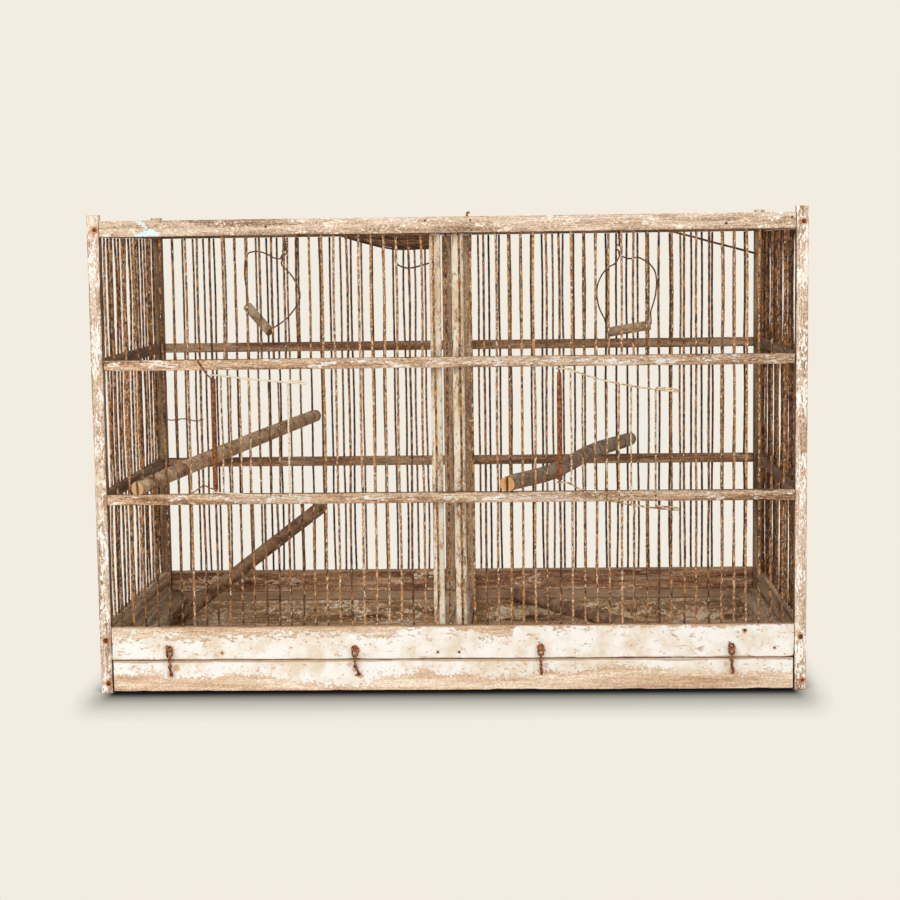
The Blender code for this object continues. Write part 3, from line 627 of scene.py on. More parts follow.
top_wear = {"patch": 150, "stretch": 3, "fleck": 1.0, "within": INNER, "grit": 0.7}
look_top_front = aged_wood("top_rail_front", 0, PALE, 0.4, TOP_PAINT, seed=3.1, spots=top_spots, **top_wear)
look_top = aged_wood("top_rail", 0, PALE, 0.4, TOP_PAINT, seed=5.7, **top_wear)
look_top_side = aged_wood("top_rail_side", 1, PALE, 0.3, patch=150, stretch=4, fleck=1.0, seed=6.7, within=INNER)
look_post = aged_wood(
    "post", 2, PALE, 0.52, patch=110, stretch=4, fleck=0.9, seed=8.2, spots=post_spots, within=INNER,
)
look_base = aged_wood(
    "base_board", 0, TAN, 0.66, line=base_line, seed=1.3, patch=70, fleck=1.0, edge_bare=0.1, spots=base_spots,
    within=INNER, grit=0.6, fade=0.04, bands=((33, 35, (150, 108, 74), 0.65), (66.8, 69, (176, 138, 104), 0.6)),
)
look_flap = aged_wood(
    "flap", 0, TAN, 0.6, line=flap_line, seed=2.4, patch=70, stretch=1.8, fleck=1.1, edge_bare=0.05,
    spots=flap_spots, within=INNER, grit=0.4, fade=0.04, bands=((31.2, 34, (166, 124, 88), 0.65),),
)
look_side_board = aged_wood("side_board", 1, PALE, 0.5, seed=4.4, fleck=0.9, within=GREY)
look_stile = aged_wood(
    "stile", 2, ((130, 98, 68), (212, 182, 146), (240, 220, 190)), 0.72, ((222, 196, 156), (244, 235, 216)),
    patch=120, stretch=4, fleck=1.0, seed=9.9,
)
look_back_stile = aged_wood(
    "back_stile", 2, GREY, 0.36, ((170, 148, 120), (214, 198, 172)), patch=110, stretch=4, fleck=0.9, seed=10.3,
)
look_back_board = aged_wood(
    "back_board", 0, RED, 0.3, ((190, 162, 132), (232, 214, 188)), patch=60, stretch=3.4, fleck=1.0, seed=11.0,
    bands=((32, 43.4, (170, 142, 112), 0.65), (43, 43.6, (56, 38, 26), 0.85), (66.2, 69, (176, 152, 124), 0.7)),
)
look_inner = aged_wood("inner_wood", 1, GREY, 0.25, DIM_PAINT, patch=60, fleck=0.8, seed=12.0)
look_inner_x = aged_wood("inner_wood_x", 0, GREY, 0.25, DIM_PAINT, patch=60, fleck=0.8, seed=13.0)

wood_piece("front_top_rail", look_top_front)
wood_piece("back_top_rail", look_top)
for side in ("left", "right"):
    wood_piece(f"{side}_top_rail", look_top_side)
    wood_piece(f"front_{side}_post", look_post)
    wood_piece(f"back_{side}_post", look_post)
    wood_piece(f"{side}_side_board", look_side_board)
    wood_piece(f"front_{side}_stile", look_stile)
    wood_piece(f"back_{side}_stile", look_back_stile)
    wood_piece(f"{side}_centre_batten", look_inner)
wood_piece("front_base_board", look_base, mm(4, 2.5, 2.5))
wood_piece("tray_flap", look_flap, mm(4, 2.5, 2.5), "flap")
wood_piece("back_upper_board", look_back_board)
wood_piece("back_lower_board", look_inner_x)

# ---- Wire grilles

bar_pitch = 12.4 * MM
bar_radius = 1.15 * MM
front_bar_y = -170.5 * MM
side_bar_x = 353.5 * MM
slat_zs = mm(198.4, 334.3)
slat_half = 5.35 * MM
low_z, high_z = mm(68.3, 462.2)
door_bars = 8  # upright wires of a door, and of the gap that it shuts
left_hinge_bar, right_hinge_bar = -19, 9
open_bars = [hinge + n for hinge in (left_hinge_bar, right_hinge_bar) for n in range(1, door_bars + 1)]
side_places = [(n - 8.5) * 17.5 * MM for n in range(18)]
draw = random.Random(7)

look_bar = rusty("front_bar", ((58, 34, 20), (122, 84, 54), (196, 136, 76)), (232, 212, 180), 0.34, 1.0, 1.8)
look_back_bar = rusty("back_bar", ((50, 28, 16), (96, 64, 40), (160, 116, 74)), (214, 190, 156), 0.3, 2.0, 1.8)
look_left_bar = rusty("left_bar", ((58, 32, 17), (118, 78, 46), (196, 130, 64)), (222, 196, 154), 0.34, 3.0, 1.8)
look_right_bar = rusty("right_bar", ((44, 24, 14), (86, 56, 36), (156, 106, 62)), (206, 182, 148), 0.24, 3.6, 1.8)
look_slat = aged_wood(
    "front_slat", 0, SLAT, 0.4, patch=160, stretch=5, fleck=1.0, seed=14.0, within=INNER, fade=0.12,
)
look_back_slat = aged_wood(
    "back_slat", 0, ((96, 66, 46), (150, 110, 80), (194, 160, 128)), 0.15, ((140, 118, 96), (176, 158, 134)),
    patch=90, stretch=4, fleck=0.8, seed=15.0,
)
look_side_slat = aged_wood("side_slat", 1, SLAT, 0.4, patch=120, stretch=4, fleck=0.8, seed=16.0, within=INNER)


def bar_points(x, y, low, high, sway):
    """An upright wire that is held where it passes a slat and wanders a little between."""
    bends = [(draw.uniform(-1, 1) * sway, draw.uniform(-1, 1) * sway) for _ in range(3)]
    levels = [low_z, *slat_zs, high_z]
    points = []
    for p in resampled([(x, y, low), (x, y, high)], 3 * MM):
        part = 0 if p.z < levels[1] else 1 if p.z < levels[2] else 2
        share = (p.z - levels[part]) / (levels[part + 1] - levels[part])
        swell = sin(pi * min(max(share, 0), 1))
        twist = noise.noise(Vector((x * 900, y * 900, p.z * 18))) * 0.25 * MM
        a, b = bends[part]
        points.append(p + Vector((a * swell + twist, b * swell * 0.5, 0)))
    return points


def any_tint():
    return draw.uniform(-0.5, 0.5)


def build_grille(name, wires, bar_look, slat_look, lump, sides, steps, radius):
    """The upright wires of one side, each (points, tint), and its two slats."""
    node = f"{name}_grille"
    low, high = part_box(node)
    shape = bmesh.new()
    for points, tint in wires:
        tube(shape, points, radius, sides, lump, tint, seed_of(name))
    link_wire(f"{name}_wires", shape, bar_look, node)
    for number, z in enumerate(slat_zs):
        shape = bmesh.new()
        box = ((low.x, low.y, z - slat_half), (high.x, high.y, z + slat_half))
        plank(shape, box, steps, 1.0, seed_of(name) + number * 3.3)
        link(f"{name}_slat_{number + 1}", shape, slat_look, "cage", node, 40)


for name, y, looks, lump, sides, steps, radius in (
    ("front", front_bar_y, (look_bar, look_slat), 0.3, 8, mm(3.5, 2.2, 2), 1.2 * MM),
    ("back", -front_bar_y, (look_back_bar, look_back_slat), 0.25, 6, mm(5, 3, 3), 1.25 * MM),
):
    wires = []
    for number in range(-27, 28):
        tint = any_tint()
        runs = [(low_z, high_z)]
        if name == "front" and number in open_bars:
            runs = [(low_z, slat_zs[0]), (slat_zs[1], high_z)]
        wires += [(bar_points(number * bar_pitch, y, low, high, 0.9 * MM), tint) for low, high in runs]
    build_grille(name, wires, *looks, lump, sides, steps, radius)
for name, x, look, radius in (
    ("left", -side_bar_x, look_left_bar, 1.3 * MM), ("right", side_bar_x, look_right_bar, 1.45 * MM),
):
    wires = [(bar_points(x, y, low_z, high_z, 1.3 * MM), any_tint()) for y in side_places]
    build_grille(name, wires, look, look_side_slat, 0.3, 7, mm(2.5, 4, 2.5), radius)

# ---- Roof

roof_z = 470.5 * MM
roof_batten_x = 181 * MM
roof_inner, roof_outer = mm(17.1, 345.4)
deepest_sag = 23 * MM
sag_shares = (
    0.3, 0.55, 0.8, 0.75, 0.45, 1.0, 0.9, 0.65, 0.6,
    0.8, 0.35, 0.5, 0.95, 0.7, 0.4, 0.85, 0.25, 0.55,
)
dropped_wire = 5  # the wire of the right roof that has come off at its outer end

look_roof_bar = rusty("roof_bar", ((46, 30, 20), (84, 56, 38), (136, 94, 60)), (168, 142, 110), 0.22, 4.0, axis=0)
look_roof_wood = aged_wood("roof_batten", 1, GREY, 0.3, DIM_PAINT, patch=60, fleck=0.8, seed=17.0)


def roof_points(route):
    """A roof wire through its bends, with a little wander from front to back."""
    aside, phase = draw.uniform(-1, 1) * 0.6 * MM, draw.uniform(0, 9)
    points = []
    for p in resampled(rounded(route, 5), 4 * MM):
        swell = min(1.0, abs(abs(p.x) - roof_inner) * 20, abs(abs(p.x) - roof_outer) * 20)
        wander = noise.noise(Vector((p.x * 22, phase, 0))) * 0.9 * MM
        points.append(p + Vector((0, (aside + wander) * swell, wander * 0.4 * swell)))
    return points


for side, sign in SIDES:
    node = f"{side}_roof_grille"
    shape = bmesh.new()
    for number, y in enumerate(side_places):
        route = [(sign * x, y, roof_z) for x in (roof_outer, roof_batten_x, roof_inner)]
        if side == "left":
            route = [(x * MM, y, roof_z) for x in (-345.4, -250, -169)]
            for x, share in ((-125, 0.25), (-92.5, 0.667), (-60, 1.0), (-21.8, 1.0)):
                route.append((x * MM, y, roof_z - deepest_sag * sag_shares[number] * share))
        elif number == dropped_wire:
            route = [(x * MM, y, roof_z - drop * MM) for x, drop in ((331, 36), (221, 6), (193, 0))]
            route.append((roof_inner, y, roof_z))
        tube(shape, roof_points(route), bar_radius, 6, 0.18, any_tint(), number)
    link_wire(f"{side}_roof_wires", shape, look_roof_bar, node)
    shape = bmesh.new()
    x = sign * roof_batten_x
    box = ((x - 6 * MM, *mm(-162.4, 465)), (x + 6 * MM, *mm(162.4, 476)))
    plank(shape, box, mm(3, 4, 3), 1.0, 21 + sign)
    link(f"{side}_roof_batten", shape, look_roof_wood, "cage", node, 40)

shape = bmesh.new()
route = (
    (-60, 14, 448), (-61, 12, 443), (-61.7, 8, 437.5), (-59.6, 8, 430.9), (-52.3, 8, 427.1), (-44.6, 8, 426.5),
    (-35.0, 9, 428.5), (-23.0, 10, 432.1),
)
tube(shape, resampled(rounded([mm(*p) for p in route], 8), 2 * MM), 0.9 * MM, 6, 0.2, 0.2, 3)
link_wire("loose_roof_wire", shape, look_roof_bar)

# ---- Floor

look_tray = aged_wood(
    "tray_sheet", 0, ((98, 68, 42), (202, 166, 124), (240, 216, 182)), 0.4, ((226, 202, 168), (248, 238, 216)),
    patch=70, stretch=2.2, fleck=1.1, seed=19.0, metal=0.4,
)
look_guide = aged_wood(
    "guide", 1, ((110, 88, 64), (172, 144, 114), (210, 186, 156)), 0.2, ((170, 150, 122), (210, 192, 164)),
    patch=60, fleck=0.8, seed=20.0,
)


def swept(shape, outline, low, high, step, seed):
    """Adds wood with the same (x, z) outline from front to back, with worn corners."""
    edge = layer(shape, "edge")
    corners = [Vector((x, 0, z)) for x, z in outline]
    middle = sum(corners, Vector()) / len(corners)
    loop = []
    for a, b in zip(corners, corners[1:] + corners[:1]):
        length = (b - a).length
        near = [m for m in mm(0, 0.6, 1.8) if m < length * 0.4]
        fill = max(1, round(length / (3 * MM)))
        marks = near + [length - m for m in near[1:]] + [length * n / fill for n in range(1, fill)]
        for mark in sorted(set(marks)):
            loop.append((a.lerp(b, mark / length), min(mark, length - mark)))
    count = max(1, round((high - low) / step))
    rings = []
    for n in range(count + 1):
        y = low + (high - low) * n / count
        ring = []
        for p, near in loop:
            q = Vector((p.x, y, p.z))
            fray = noise.noise(q * 240 + Vector((seed, 0, 0)))
            pull = max(0.0, (0.5 + 0.4 * fray) * MM - near) * 0.7
            pull += (noise.noise(Vector((q.x * 330, q.y * 20, q.z * 330 + seed))) * 0.5 + 0.5) * 0.12 * MM
            q += (Vector((middle.x, y, middle.z)) - q).normalized() * pull
            v = shape.verts.new(q)
            v[edge] = exp(-near / EDGE_FADE)
            ring.append(v)
        rings.append(ring)
    for a, b in zip(rings, rings[1:]):
        for n in range(len(a)):
            m = (n + 1) % len(a)
            shape.faces.new((a[n], b[n], b[m], a[m]))
    shape.faces.new(rings[0])
    shape.faces.new(rings[-1][::-1])


def frame_boxes(low, high, thick, bottom):
    """Four walls round a rectangle, from bottom to its top."""
    return (
        ((low.x, low.y, bottom), (low.x + thick, high.y, high.z)),
        ((high.x - thick, low.y, bottom), (high.x, high.y, high.z)),
        ((low.x, low.y, bottom), (high.x, low.y + thick, high.z)),
        ((low.x, high.y - thick, bottom), (high.x, high.y, high.z)),
    )


floor_end = 166.2 * MM
shape = bmesh.new()
plank(shape, ((*mm(-16.5), -floor_end, 5.2 * MM), (*mm(16.5), floor_end, 45 * MM)), mm(4, 4, 4), 1.0, 31)
plank(shape, ((*mm(-26), -floor_end, 0), (*mm(26), floor_end, 5.5 * MM)), mm(4, 4, 2), 1.0, 32)
link("centre_floor_rail_worn", shape, look_guide, "cage", "centre_floor_rail", 40)

for side, sign in SIDES:
    outline = [(sign * x * MM, z * MM) for x, z in ((347.7, 34), (347.7, 46), (326.7, 37), (326.7, 34))]
    if sign > 0:
        outline.reverse()
    shape = bmesh.new()
    swept(shape, outline, *mm(-162.4, 162.4, 3.5), 41 + sign)
    link(f"{side}_litter_guide_worn", shape, look_guide, "cage", f"{side}_litter_guide", 40)
    wood_piece(f"{side}_tray_runner", look_guide, mm(3, 5, 2))

    low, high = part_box(f"{side}_tray")
    sheet, hem, hem_drop = mm(1, 0.7, 4.5)
    steps = mm(5, 5, 3)
    shape = bmesh.new()
    plank(shape, (tuple(low), (high.x, high.y, low.z + sheet)), steps, 0.3, 51 + sign, 0.1)
    for box in frame_boxes(low, high, sheet, low.z):
        plank(shape, box, steps, 0.3, 53 + sign, 0.1)
    inset = Vector((sheet, sheet, 0))
    for box in frame_boxes(low + inset, high - inset, hem, high.z - hem_drop):
        plank(shape, box, steps, 0.4, 55 + sign, 0.15)
    link(f"{side}_tray_sheet", shape, look_tray, "cage", f"{side}_tray", 40)

# ---- Doors and their coils

look_door = rusty("door_wire", ((64, 38, 22), (126, 84, 54), (192, 134, 78)), (232, 212, 178), 0.4, 5.0, 2.0)
look_arm = {
    "left": rusty(
        "left_door_arm", ((96, 66, 42), (168, 132, 94), (206, 170, 126)), (230, 217, 192), 0.7, 6.0, 2.0, axis=0,
    ),
    "right": rusty(
        "right_door_arm", ((84, 54, 34), (150, 108, 70), (202, 152, 98)), (226, 208, 176), 0.5, 6.6, 2.0, axis=0,
    ),
}
look_coil = rusty("coil", ((78, 40, 24), (136, 80, 50), (188, 122, 72)), (214, 184, 136), 0.16, 7.0, 1.0)


def droop(along, depth, length):
    """How far a door's arm has sunk, from 10 mm beyond its hinge."""
    return depth * (1 - exp(-max(0.0, along - 10 * MM) / length))


def arm_points(z, depth, length):
    """The eye round the hinge wire, the arm and the tip folded back, with the door shut along +X."""
    eye_radius, fold, reach = mm(2.25, 1.05, 122)
    last = door_bars * bar_pitch

    def at(x, up=0.0, sunk=None):
        return (x, -eye_radius, z - droop(x if sunk is None else sunk, depth, length) + up)

    points = [(x, y, z) for x, y in arc((0, 0), eye_radius, -pi / 2 - radians(250), radians(250), 16)]
    points += [at(step * 3 * MM) for step in range(1, 33)] + [at(last), at(reach - 12 * MM)]
    for x, height in arc((reach - fold, at(reach)[2] + fold), fold, -pi / 2, pi, 6):
        points.append((x, -eye_radius, height))
    points += [at(last + 6 * MM, 2 * fold), at(last + 1.6 * MM, 1.7 * fold, last)]
    x, y, height = at(last + 0.2 * MM, 0.2 * fold, last)
    return points + [(x, y + 0.2 * MM, height)]


def build_door(side, hinge_bar, opened, low, high, lost):
    """A door's wires. low and high are its arms' (height, droop, length), and lost is a missing upright."""
    place = Matrix.Translation((hinge_bar * bar_pitch, front_bar_y, 0)) @ Matrix.Rotation(-opened, 4, "Z")
    body = node = f"{side}_door"
    arms = bmesh.new()
    for arm in (low, high):
        points = [place @ p for p in resampled(arm_points(*arm), 1.1 * MM)]
        points = [p + Vector((0, 0, noise.noise(p * 30) * 0.5 * MM)) for p in points]
        tube(arms, points, 0.9 * MM, 8, 0.2, 0.3 if arm is high else -0.2, hinge_bar)
    uprights = bmesh.new()
    for step in range(1, door_bars + 1):
        if step == lost:
            continue
        along = step * bar_pitch
        foot = low[0] - droop(along, *low[1:]) - 1.1 * MM
        head = high[0] - droop(along, *high[1:]) + (0.4 if step == door_bars else 1.1) * MM
        lean = any_tint() * MM
        points = []
        for p in resampled([(along, -1.9 * MM, foot), (along, -1.9 * MM, head)], 2.5 * MM):
            swell = sin(pi * (p.z - foot) / (head - foot))
            wander = noise.noise(Vector((along * 700, 0, p.z * 25))) * 0.7 * MM
            points.append(place @ (p + Vector(((lean + wander) * swell, wander * 0.5 * swell, 0))))
        tube(arms if step == door_bars else uprights, points, 0.9 * MM, 8, 0.22, any_tint(), step)
    link_wire(f"{side}_door_arms", arms, look_arm[side], node, body)
    link_wire(f"{side}_door_uprights", uprights, look_door, node, body)


def build_coil(side, hinge_bar, foot, head):
    """The close wound spring of a door, with a tail over the next wires and, at the left, one over the slat."""
    x, y, radius = hinge_bar * bar_pitch, front_bar_y, 2.2 * MM
    shape = bmesh.new()
    tail = [(x - 23.5 * MM, y - radius, foot - 2.8 * MM)]
    for out, up in ((18.8, 0), (11.75, 4.5), (5.9, 2.25), (0, 0)):
        tail.append((x - out * MM, y - radius, foot + up * MM))
    tail = rounded(tail, 6)[:-1]
    wound = []
    steps = round((head - foot) / (1.06 * MM)) * 12 + 9
    for step in range(steps + 1):
        angle = 2 * pi * step / 12 - pi / 2
        level = foot + (head - foot) * step / steps
        sway = 1 + 0.035 * noise.noise(Vector((level * 160, hinge_bar, 0)))
        if side == "right":
            sway *= 1 - 0.22 * max(0.0, 1 - (head - level) / (22 * MM))
        wound.append((x + radius * sway * cos(angle), y + radius * sway * sin(angle), level))
    tube(shape, wound, 0.58 * MM, 6, 0.12, 0.0, hinge_bar)
    tube(shape, tail + wound[:3], 0.74 * MM, 6, 0.12, 0.1, hinge_bar + 1)
    if side == "left":
        top = [wound[-1], (x - 1.6 * MM, y - 3.6 * MM, head + 1.4 * MM)]
        for out, up in ((0.4, 0.28), (0.7, 0.62), (1.0, 1.0)):
            top.append((x - 14.2 * MM * out, y - 4.8 * MM, head + 19.2 * MM * up))
        tube(shape, wound[-3:-1] + rounded(top, 6), 0.8 * MM, 6, 0.12, -0.3, hinge_bar + 2)
    link_wire(f"{side}_door_coil_wound", shape, look_coil, f"{side}_door_coil")


left_low, left_high = mm(205.6, 0, 70), mm(324, 8.5, 110)
right_low, right_high = mm(212.5, 25, 40), mm(326.8, 27, 70)
build_door("left", left_hinge_bar, radians(33), left_low, left_high, None)
build_door("right", right_hinge_bar, radians(18.5), right_low, right_high, 7)
build_coil("left", left_hinge_bar, left_low[0] + 2.2 * MM, left_high[0] - 4.2 * MM)
build_coil("right", right_hinge_bar, right_low[0] + 2.7 * MM, right_high[0] - 4.2 * MM)

# ---- Hinges of the flap, tie wire and nails

look_hinge = rusty("hinge_wire", ((54, 30, 18), (116, 66, 36), (196, 118, 58)), (214, 168, 112), 0.24, 8.0, 1.0)
look_nail = rusty("nails", ((34, 20, 13), (78, 44, 25), (142, 84, 42)), (176, 118, 72), 0.2, 10.0, 1.0)
look_swing = rusty("swing_wire", ((48, 30, 20), (92, 62, 42), (140, 98, 62)), (186, 152, 112), 0.25, 9.0, 1.5)
axis_y, axis_z = mm(-177.4, 37.2)
crumbs = 12


def build_staple(number, x):
    """A staple in the base board, with a lump and crumbs of rust."""
    half, leg_z = mm(2.6, 45.8)
    leg = ((FACE_Y + 5 * MM, leg_z), (FACE_Y - 1.2 * MM, leg_z), (axis_y, leg_z - 2 * MM))
    route = [(x - half, *place) for place in leg]
    route += [(px, axis_y, pz) for px, pz in arc((x, axis_z + half), half, pi, pi, 10)]
    route += [(x + half, *place) for place in leg[::-1]]
    shape = bmesh.new()
    tube(shape, resampled(route, 0.6 * MM), 0.92 * MM, 8, 0.45, 0.1, number * 7, 520)
    lump = ((-2.6, 0.2), (-1.7, 1.3), (0, 1.9), (1.8, 1.2), (2.6, 0.1))
    lump = [(x + a * MM, FACE_Y - 0.7 * MM, leg_z + b * MM) for a, b in lump]
    tube(shape, resampled(rounded(lump, 4), 0.6 * MM), 0.95 * MM, 8, 0.5, 0.15, number * 3, 600)
    spread = random.Random(number).uniform
    for n in range(crumbs):
        start = Vector((x + spread(-3, 3) * MM, FACE_Y - spread(0.4, 1.1) * MM, leg_z + spread(-6.5, 2) * MM))
        end = start + Vector((spread(-2.6, 2.6), spread(-0.5, 0.5), spread(-1.6, 2.8))) * MM
        middle = (start + end) / 2 + Vector((spread(-0.6, 0.6), 0, spread(-0.6, 0.6))) * MM
        tube(shape, rounded([start, middle, end], 4), 0.62 * MM, 6, 0.6, 0.3, number * 5 + n, 700)
    link_wire(f"flap_staple_{number}_rusty", shape, look_hinge, f"flap_staple_{number}")


def build_hairpin(number, x, lean):
    """A hairpin in the flap, through the staple's eye, twisted below it and leaning at its foot."""
    pin_z, bow_radius = mm(17.5, 1.8)
    inner, outer = axis_y + bow_radius, axis_y - bow_radius
    route = [(FACE_Y + 5 * MM, pin_z), (FACE_Y - 0.3 * MM, pin_z), (inner, pin_z + 0.9 * MM)]
    route += [(inner, axis_z - 6 * MM)] + arc((axis_y, axis_z), bow_radius, 0, pi, 8) + [(outer, axis_z - 6 * MM)]
    route += [(outer, pin_z + 5.4 * MM), (axis_y - 0.45 * MM, pin_z + 0.45 * MM)]
    points = []
    for p in resampled([(x, *place) for place in route], 0.7 * MM):
        free = max(0.0, axis_z - 2 * MM - p.z) if p.y < FACE_Y else 0.0
        twist = 0.75 * MM * sin((p.z - pin_z) * 2 * pi / (8 * MM)) if free else 0
        way = 1 if p.y > axis_y else -1
        points.append(p + Vector((twist * way + lean * max(0.0, free - 8 * MM), 0, 0)))
    shape = bmesh.new()
    tube(shape, points, 0.88 * MM, 8, 0.4, 0.0, number * 11, 520)
    link_wire(f"flap_hairpin_{number}_rusty", shape, look_hinge, f"flap_hairpin_{number}", "flap")


for number, (x, lean) in enumerate(((-286.2, 0.15), (-97.3, 0.5), (90.8, 0.1), (282.7, 0.2)), start=1):
    build_staple(number, x * MM)
    build_hairpin(number, x * MM, lean)

shape = bmesh.new()
tie_y, tie_z = front_bar_y - 2.05 * MM, 279 * MM
tie_step, tie_pitch, tie_radius = mm(1.2, 4.6, 0.42)
middle = -21 * bar_pitch - 5 * MM
route = [(-18, 1.2), (-12.4, 0), (0, 1.2), (12.4, -1.2), (18, 0)]
base = resampled(rounded([(middle + a * MM, tie_y, tie_z + b * MM) for a, b in route], 8), tie_step)
for phase in (0, pi):
    points = []
    for n, p in enumerate(base):
        angle = 2 * pi * n * tie_step / tie_pitch + phase
        points.append(p + Vector((0, 0.35 * MM * cos(angle), 0.35 * MM * sin(angle))))
    tube(shape, points, tie_radius, 6, 0.2, 0.3, phase)
for bar in (-22, -20):
    ring = []
    for n, (x, y) in enumerate(arc((bar * bar_pitch, front_bar_y), 1.6 * MM, 0, 2.5 * pi, 15)):
        ring.append((x, y, tie_z + 0.8 * MM * (n / 12 - 0.5)))
    tube(shape, ring, tie_radius, 6, 0.2, 0.2, bar)
link_wire("tie_wire_twisted", shape, look_swing, "tie_wire")


def nail(shape, x, z, radius):
    """Adds a domed, rusted nail head on a front face."""
    proud, sides = 0.45 * MM, 14
    tints = layer(shape, "tint")
    rings = []
    for share, out in ((1.0, -0.3), (1.0, 0.35), (0.72, 0.85), (0.36, 1.0)):
        ring = []
        for n in range(sides):
            a, b = cos(2 * pi * n / sides), sin(2 * pi * n / sides)
            wide = radius * share * (1 + 0.12 * noise.noise(Vector((x * 900 + a, z * 900 + b, out))))
            v = shape.verts.new((x + wide * a, FACE_Y - proud * out, z + wide * b))
            v[tints] = 0.2
            ring.append(v)
        rings.append(ring)
    skin(shape, rings, forward=False)


shape = bmesh.new()
for x, z, radius in (
    (-178.4, 470.9, 1.2), (-19.9, 475, 1.1), (24.6, 474.6, 1.1), (276.7, 468.2, 1.3), (341.2, 473.4, 1.1),
    (-13.2, 40.8, 1.1), (8.4, 40.7, 1.1), (-232.6, 41, 1.0), (296.1, 61.3, 1.6), (325.8, 43.3, 1.1),
    (-349.5, 469.9, 2.1), (-351.5, 54.4, 2.5), (-350, 10.1, 2.3), (352.7, 469.3, 2.2), (351.8, 54.6, 2.4),
    (353.8, 10.1, 1.8),
):
    nail(shape, x * MM, z * MM, radius * MM)
link("front_nails", shape, look_nail, "cage", None, 40)
shape = bmesh.new()
bend = [mm(x, -171, z) for x, z in ((21.4, 477), (21.6, 480), (22.2, 481.8), (24.2, 482.2))]
tube(shape, rounded(bend, 5), 1.2 * MM, 8, 0.25, 0.2, 5)
link_wire("bent_nail", shape, look_hinge)

# ---- Sticks


def stick(
    node, look, start, end, radius, bow=0.0, seed=0.0, rough=1.0, cuts=(), profile=None, wave=0.0, body="cage",
):
    """A round stick with rings and dents. cuts are (end, depth, width, turn, what its two prongs have lost)."""
    shape = bmesh.new()
    along, cut = layer(shape, "along"), layer(shape, "cut")
    run = (end - start).length
    axis = (end - start).normalized()
    across = Vector((-axis.y, axis.x, 0)).normalized()
    up = axis.cross(across)
    sides, step = 28, 1.4 * MM

    def size(t, angle):
        place, a, b = t * run, cos(angle), sin(angle)
        bump = noise.noise(Vector((place * 55, a * 1.3 + seed, b * 1.3)))
        ringed = noise.noise(Vector((place * 420, a * 0.5, b * 0.5 + seed)))
        dent = noise.noise(Vector((place * 160, a * 3, b * 3 + seed)))
        swell = profile(t) if profile else 1.0
        return radius * swell * (1 + rough * (0.035 * bump + 0.016 * ringed + 0.014 * dent))

    def vertex(t, angle, share=1.0, sawn=0.0):
        middle = start.lerp(end, t) + up * (bow + wave * sin(2 * pi * t)) * sin(pi * t)
        out = across * cos(angle) + up * sin(angle)
        v = shape.verts.new(middle + out * size(t, angle) * share)
        v[along], v[cut] = t * run, sawn
        return v

    def turned(t, share=1.0, sawn=0.0):
        return [vertex(t, 2 * pi * n / sides, share, sawn) for n in range(sides)]

    def prong(at_end, depth, width, turn, half, loss):
        """Half of a sawn end, short by its loss and torn there."""
        way = 1 if at_end else -1
        length = depth - loss
        steps = max(3, round(length / step))
        rings = []
        for n in range(steps + 1):
            inward = depth + 0.6 * MM - (length + 0.6 * MM) * n / steps
            t = 1 - inward / run if at_end else inward / run
            gap = asin(min(0.9, width / 2 / size(t, turn)))
            ring = []
            for m in range(13):
                v = vertex(t, turn + half * (gap + (pi - 2 * gap) * m / 12), 1.0, 1.0 if n == steps else 0.0)
                if n == steps and loss:
                    v.co += axis * way * noise.noise(v.co * 900) * 1.6 * MM
                ring.append(v)
            flat = ring[-1].co.copy(), ring[0].co.copy()
            for share in (0.25, 0.5, 0.75):
                v = shape.verts.new(flat[0].lerp(flat[1], share))
                v[along], v[cut] = t * run, 0.6
                ring.append(v)
            rings.append(ring)
        skin(shape, rings, at_end == (half > 0))

    low, high = 0.0, 1.0
    for which, depth, *_ in cuts:
        if which == "end":
            high = 1 - depth / run
        else:
            low = depth / run
    count = max(2, round((high - low) * run / step))
    rings = [turned(low + (high - low) * n / count) for n in range(count + 1)]
    skin(shape, rings, caps=False)
    for ring, t, outward in ((rings[0], low, False), (rings[-1], high, True)):
        sawn = [turned(t, share, 1.0) for share in (0.965, 0.7, 0.4, 0.15)]
        skin(shape, [ring] + sawn, outward, caps=False)
        shape.faces.new(sawn[-1] if outward else sawn[-1][::-1])
    for which, depth, width, turn, losses in cuts:
        for half, loss in zip((1, -1), losses):
            prong(which == "end", depth, width, turn, half, loss)
    link(f"{node}_wood", shape, look, body, node, 35)


# ---- Swings

look_dowel = bark("swing_dowel", ((116, 90, 66), (172, 148, 118), (204, 182, 152)), 3.0, 0.15, (118, 88, 66))
swing_z, neck_radius, hook_radius = mm(449, 3.2, 2)

# The loops as they were bent by hand: (along the dowel, up) in mm in the swing's plane, from the neck down.
left_loop = (
    ((-10.6, -17.6), (-20.8, -19.6), (-30.4, -22.6), (-39.1, -27), (-46, -32.5), (-48.9, -37.1), (-49.4, -41.8),
     (-45.8, -50.5), (-41.2, -58.5), (-34.2, -67.1), (-27.9, -73.1), (-23.4, -78.3), (-21.3, -81.9)),
    ((3.3, -17.7), (11.9, -18.2), (22.4, -19.4), (30.7, -21.9), (37.2, -24.6), (42.8, -28.9), (45.3, -33.1),
     (46, -39.5), (44.3, -49.4), (40.4, -61.9), (33.8, -74.2), (28.5, -82.1)),
)
right_loop = (
    ((-6.9, -19.7), (-12.5, -21.9), (-18.1, -25.3), (-23.2, -30.7), (-27.7, -37.9), (-29.9, -44.5),
     (-30.9, -51.3), (-30.7, -60), (-29.2, -68), (-26.2, -76.7), (-25.3, -83.4)),
    ((9.8, -17), (14.2, -16.4), (19.3, -17), (24.1, -20.3), (28.8, -24), (32.4, -29.2), (34.6, -34.7),
     (35, -41.7), (34.4, -47.7), (32.6, -56.1), (30.5, -62.7), (26.9, -70.9), (24, -77.4), (23.5, -85)),
)


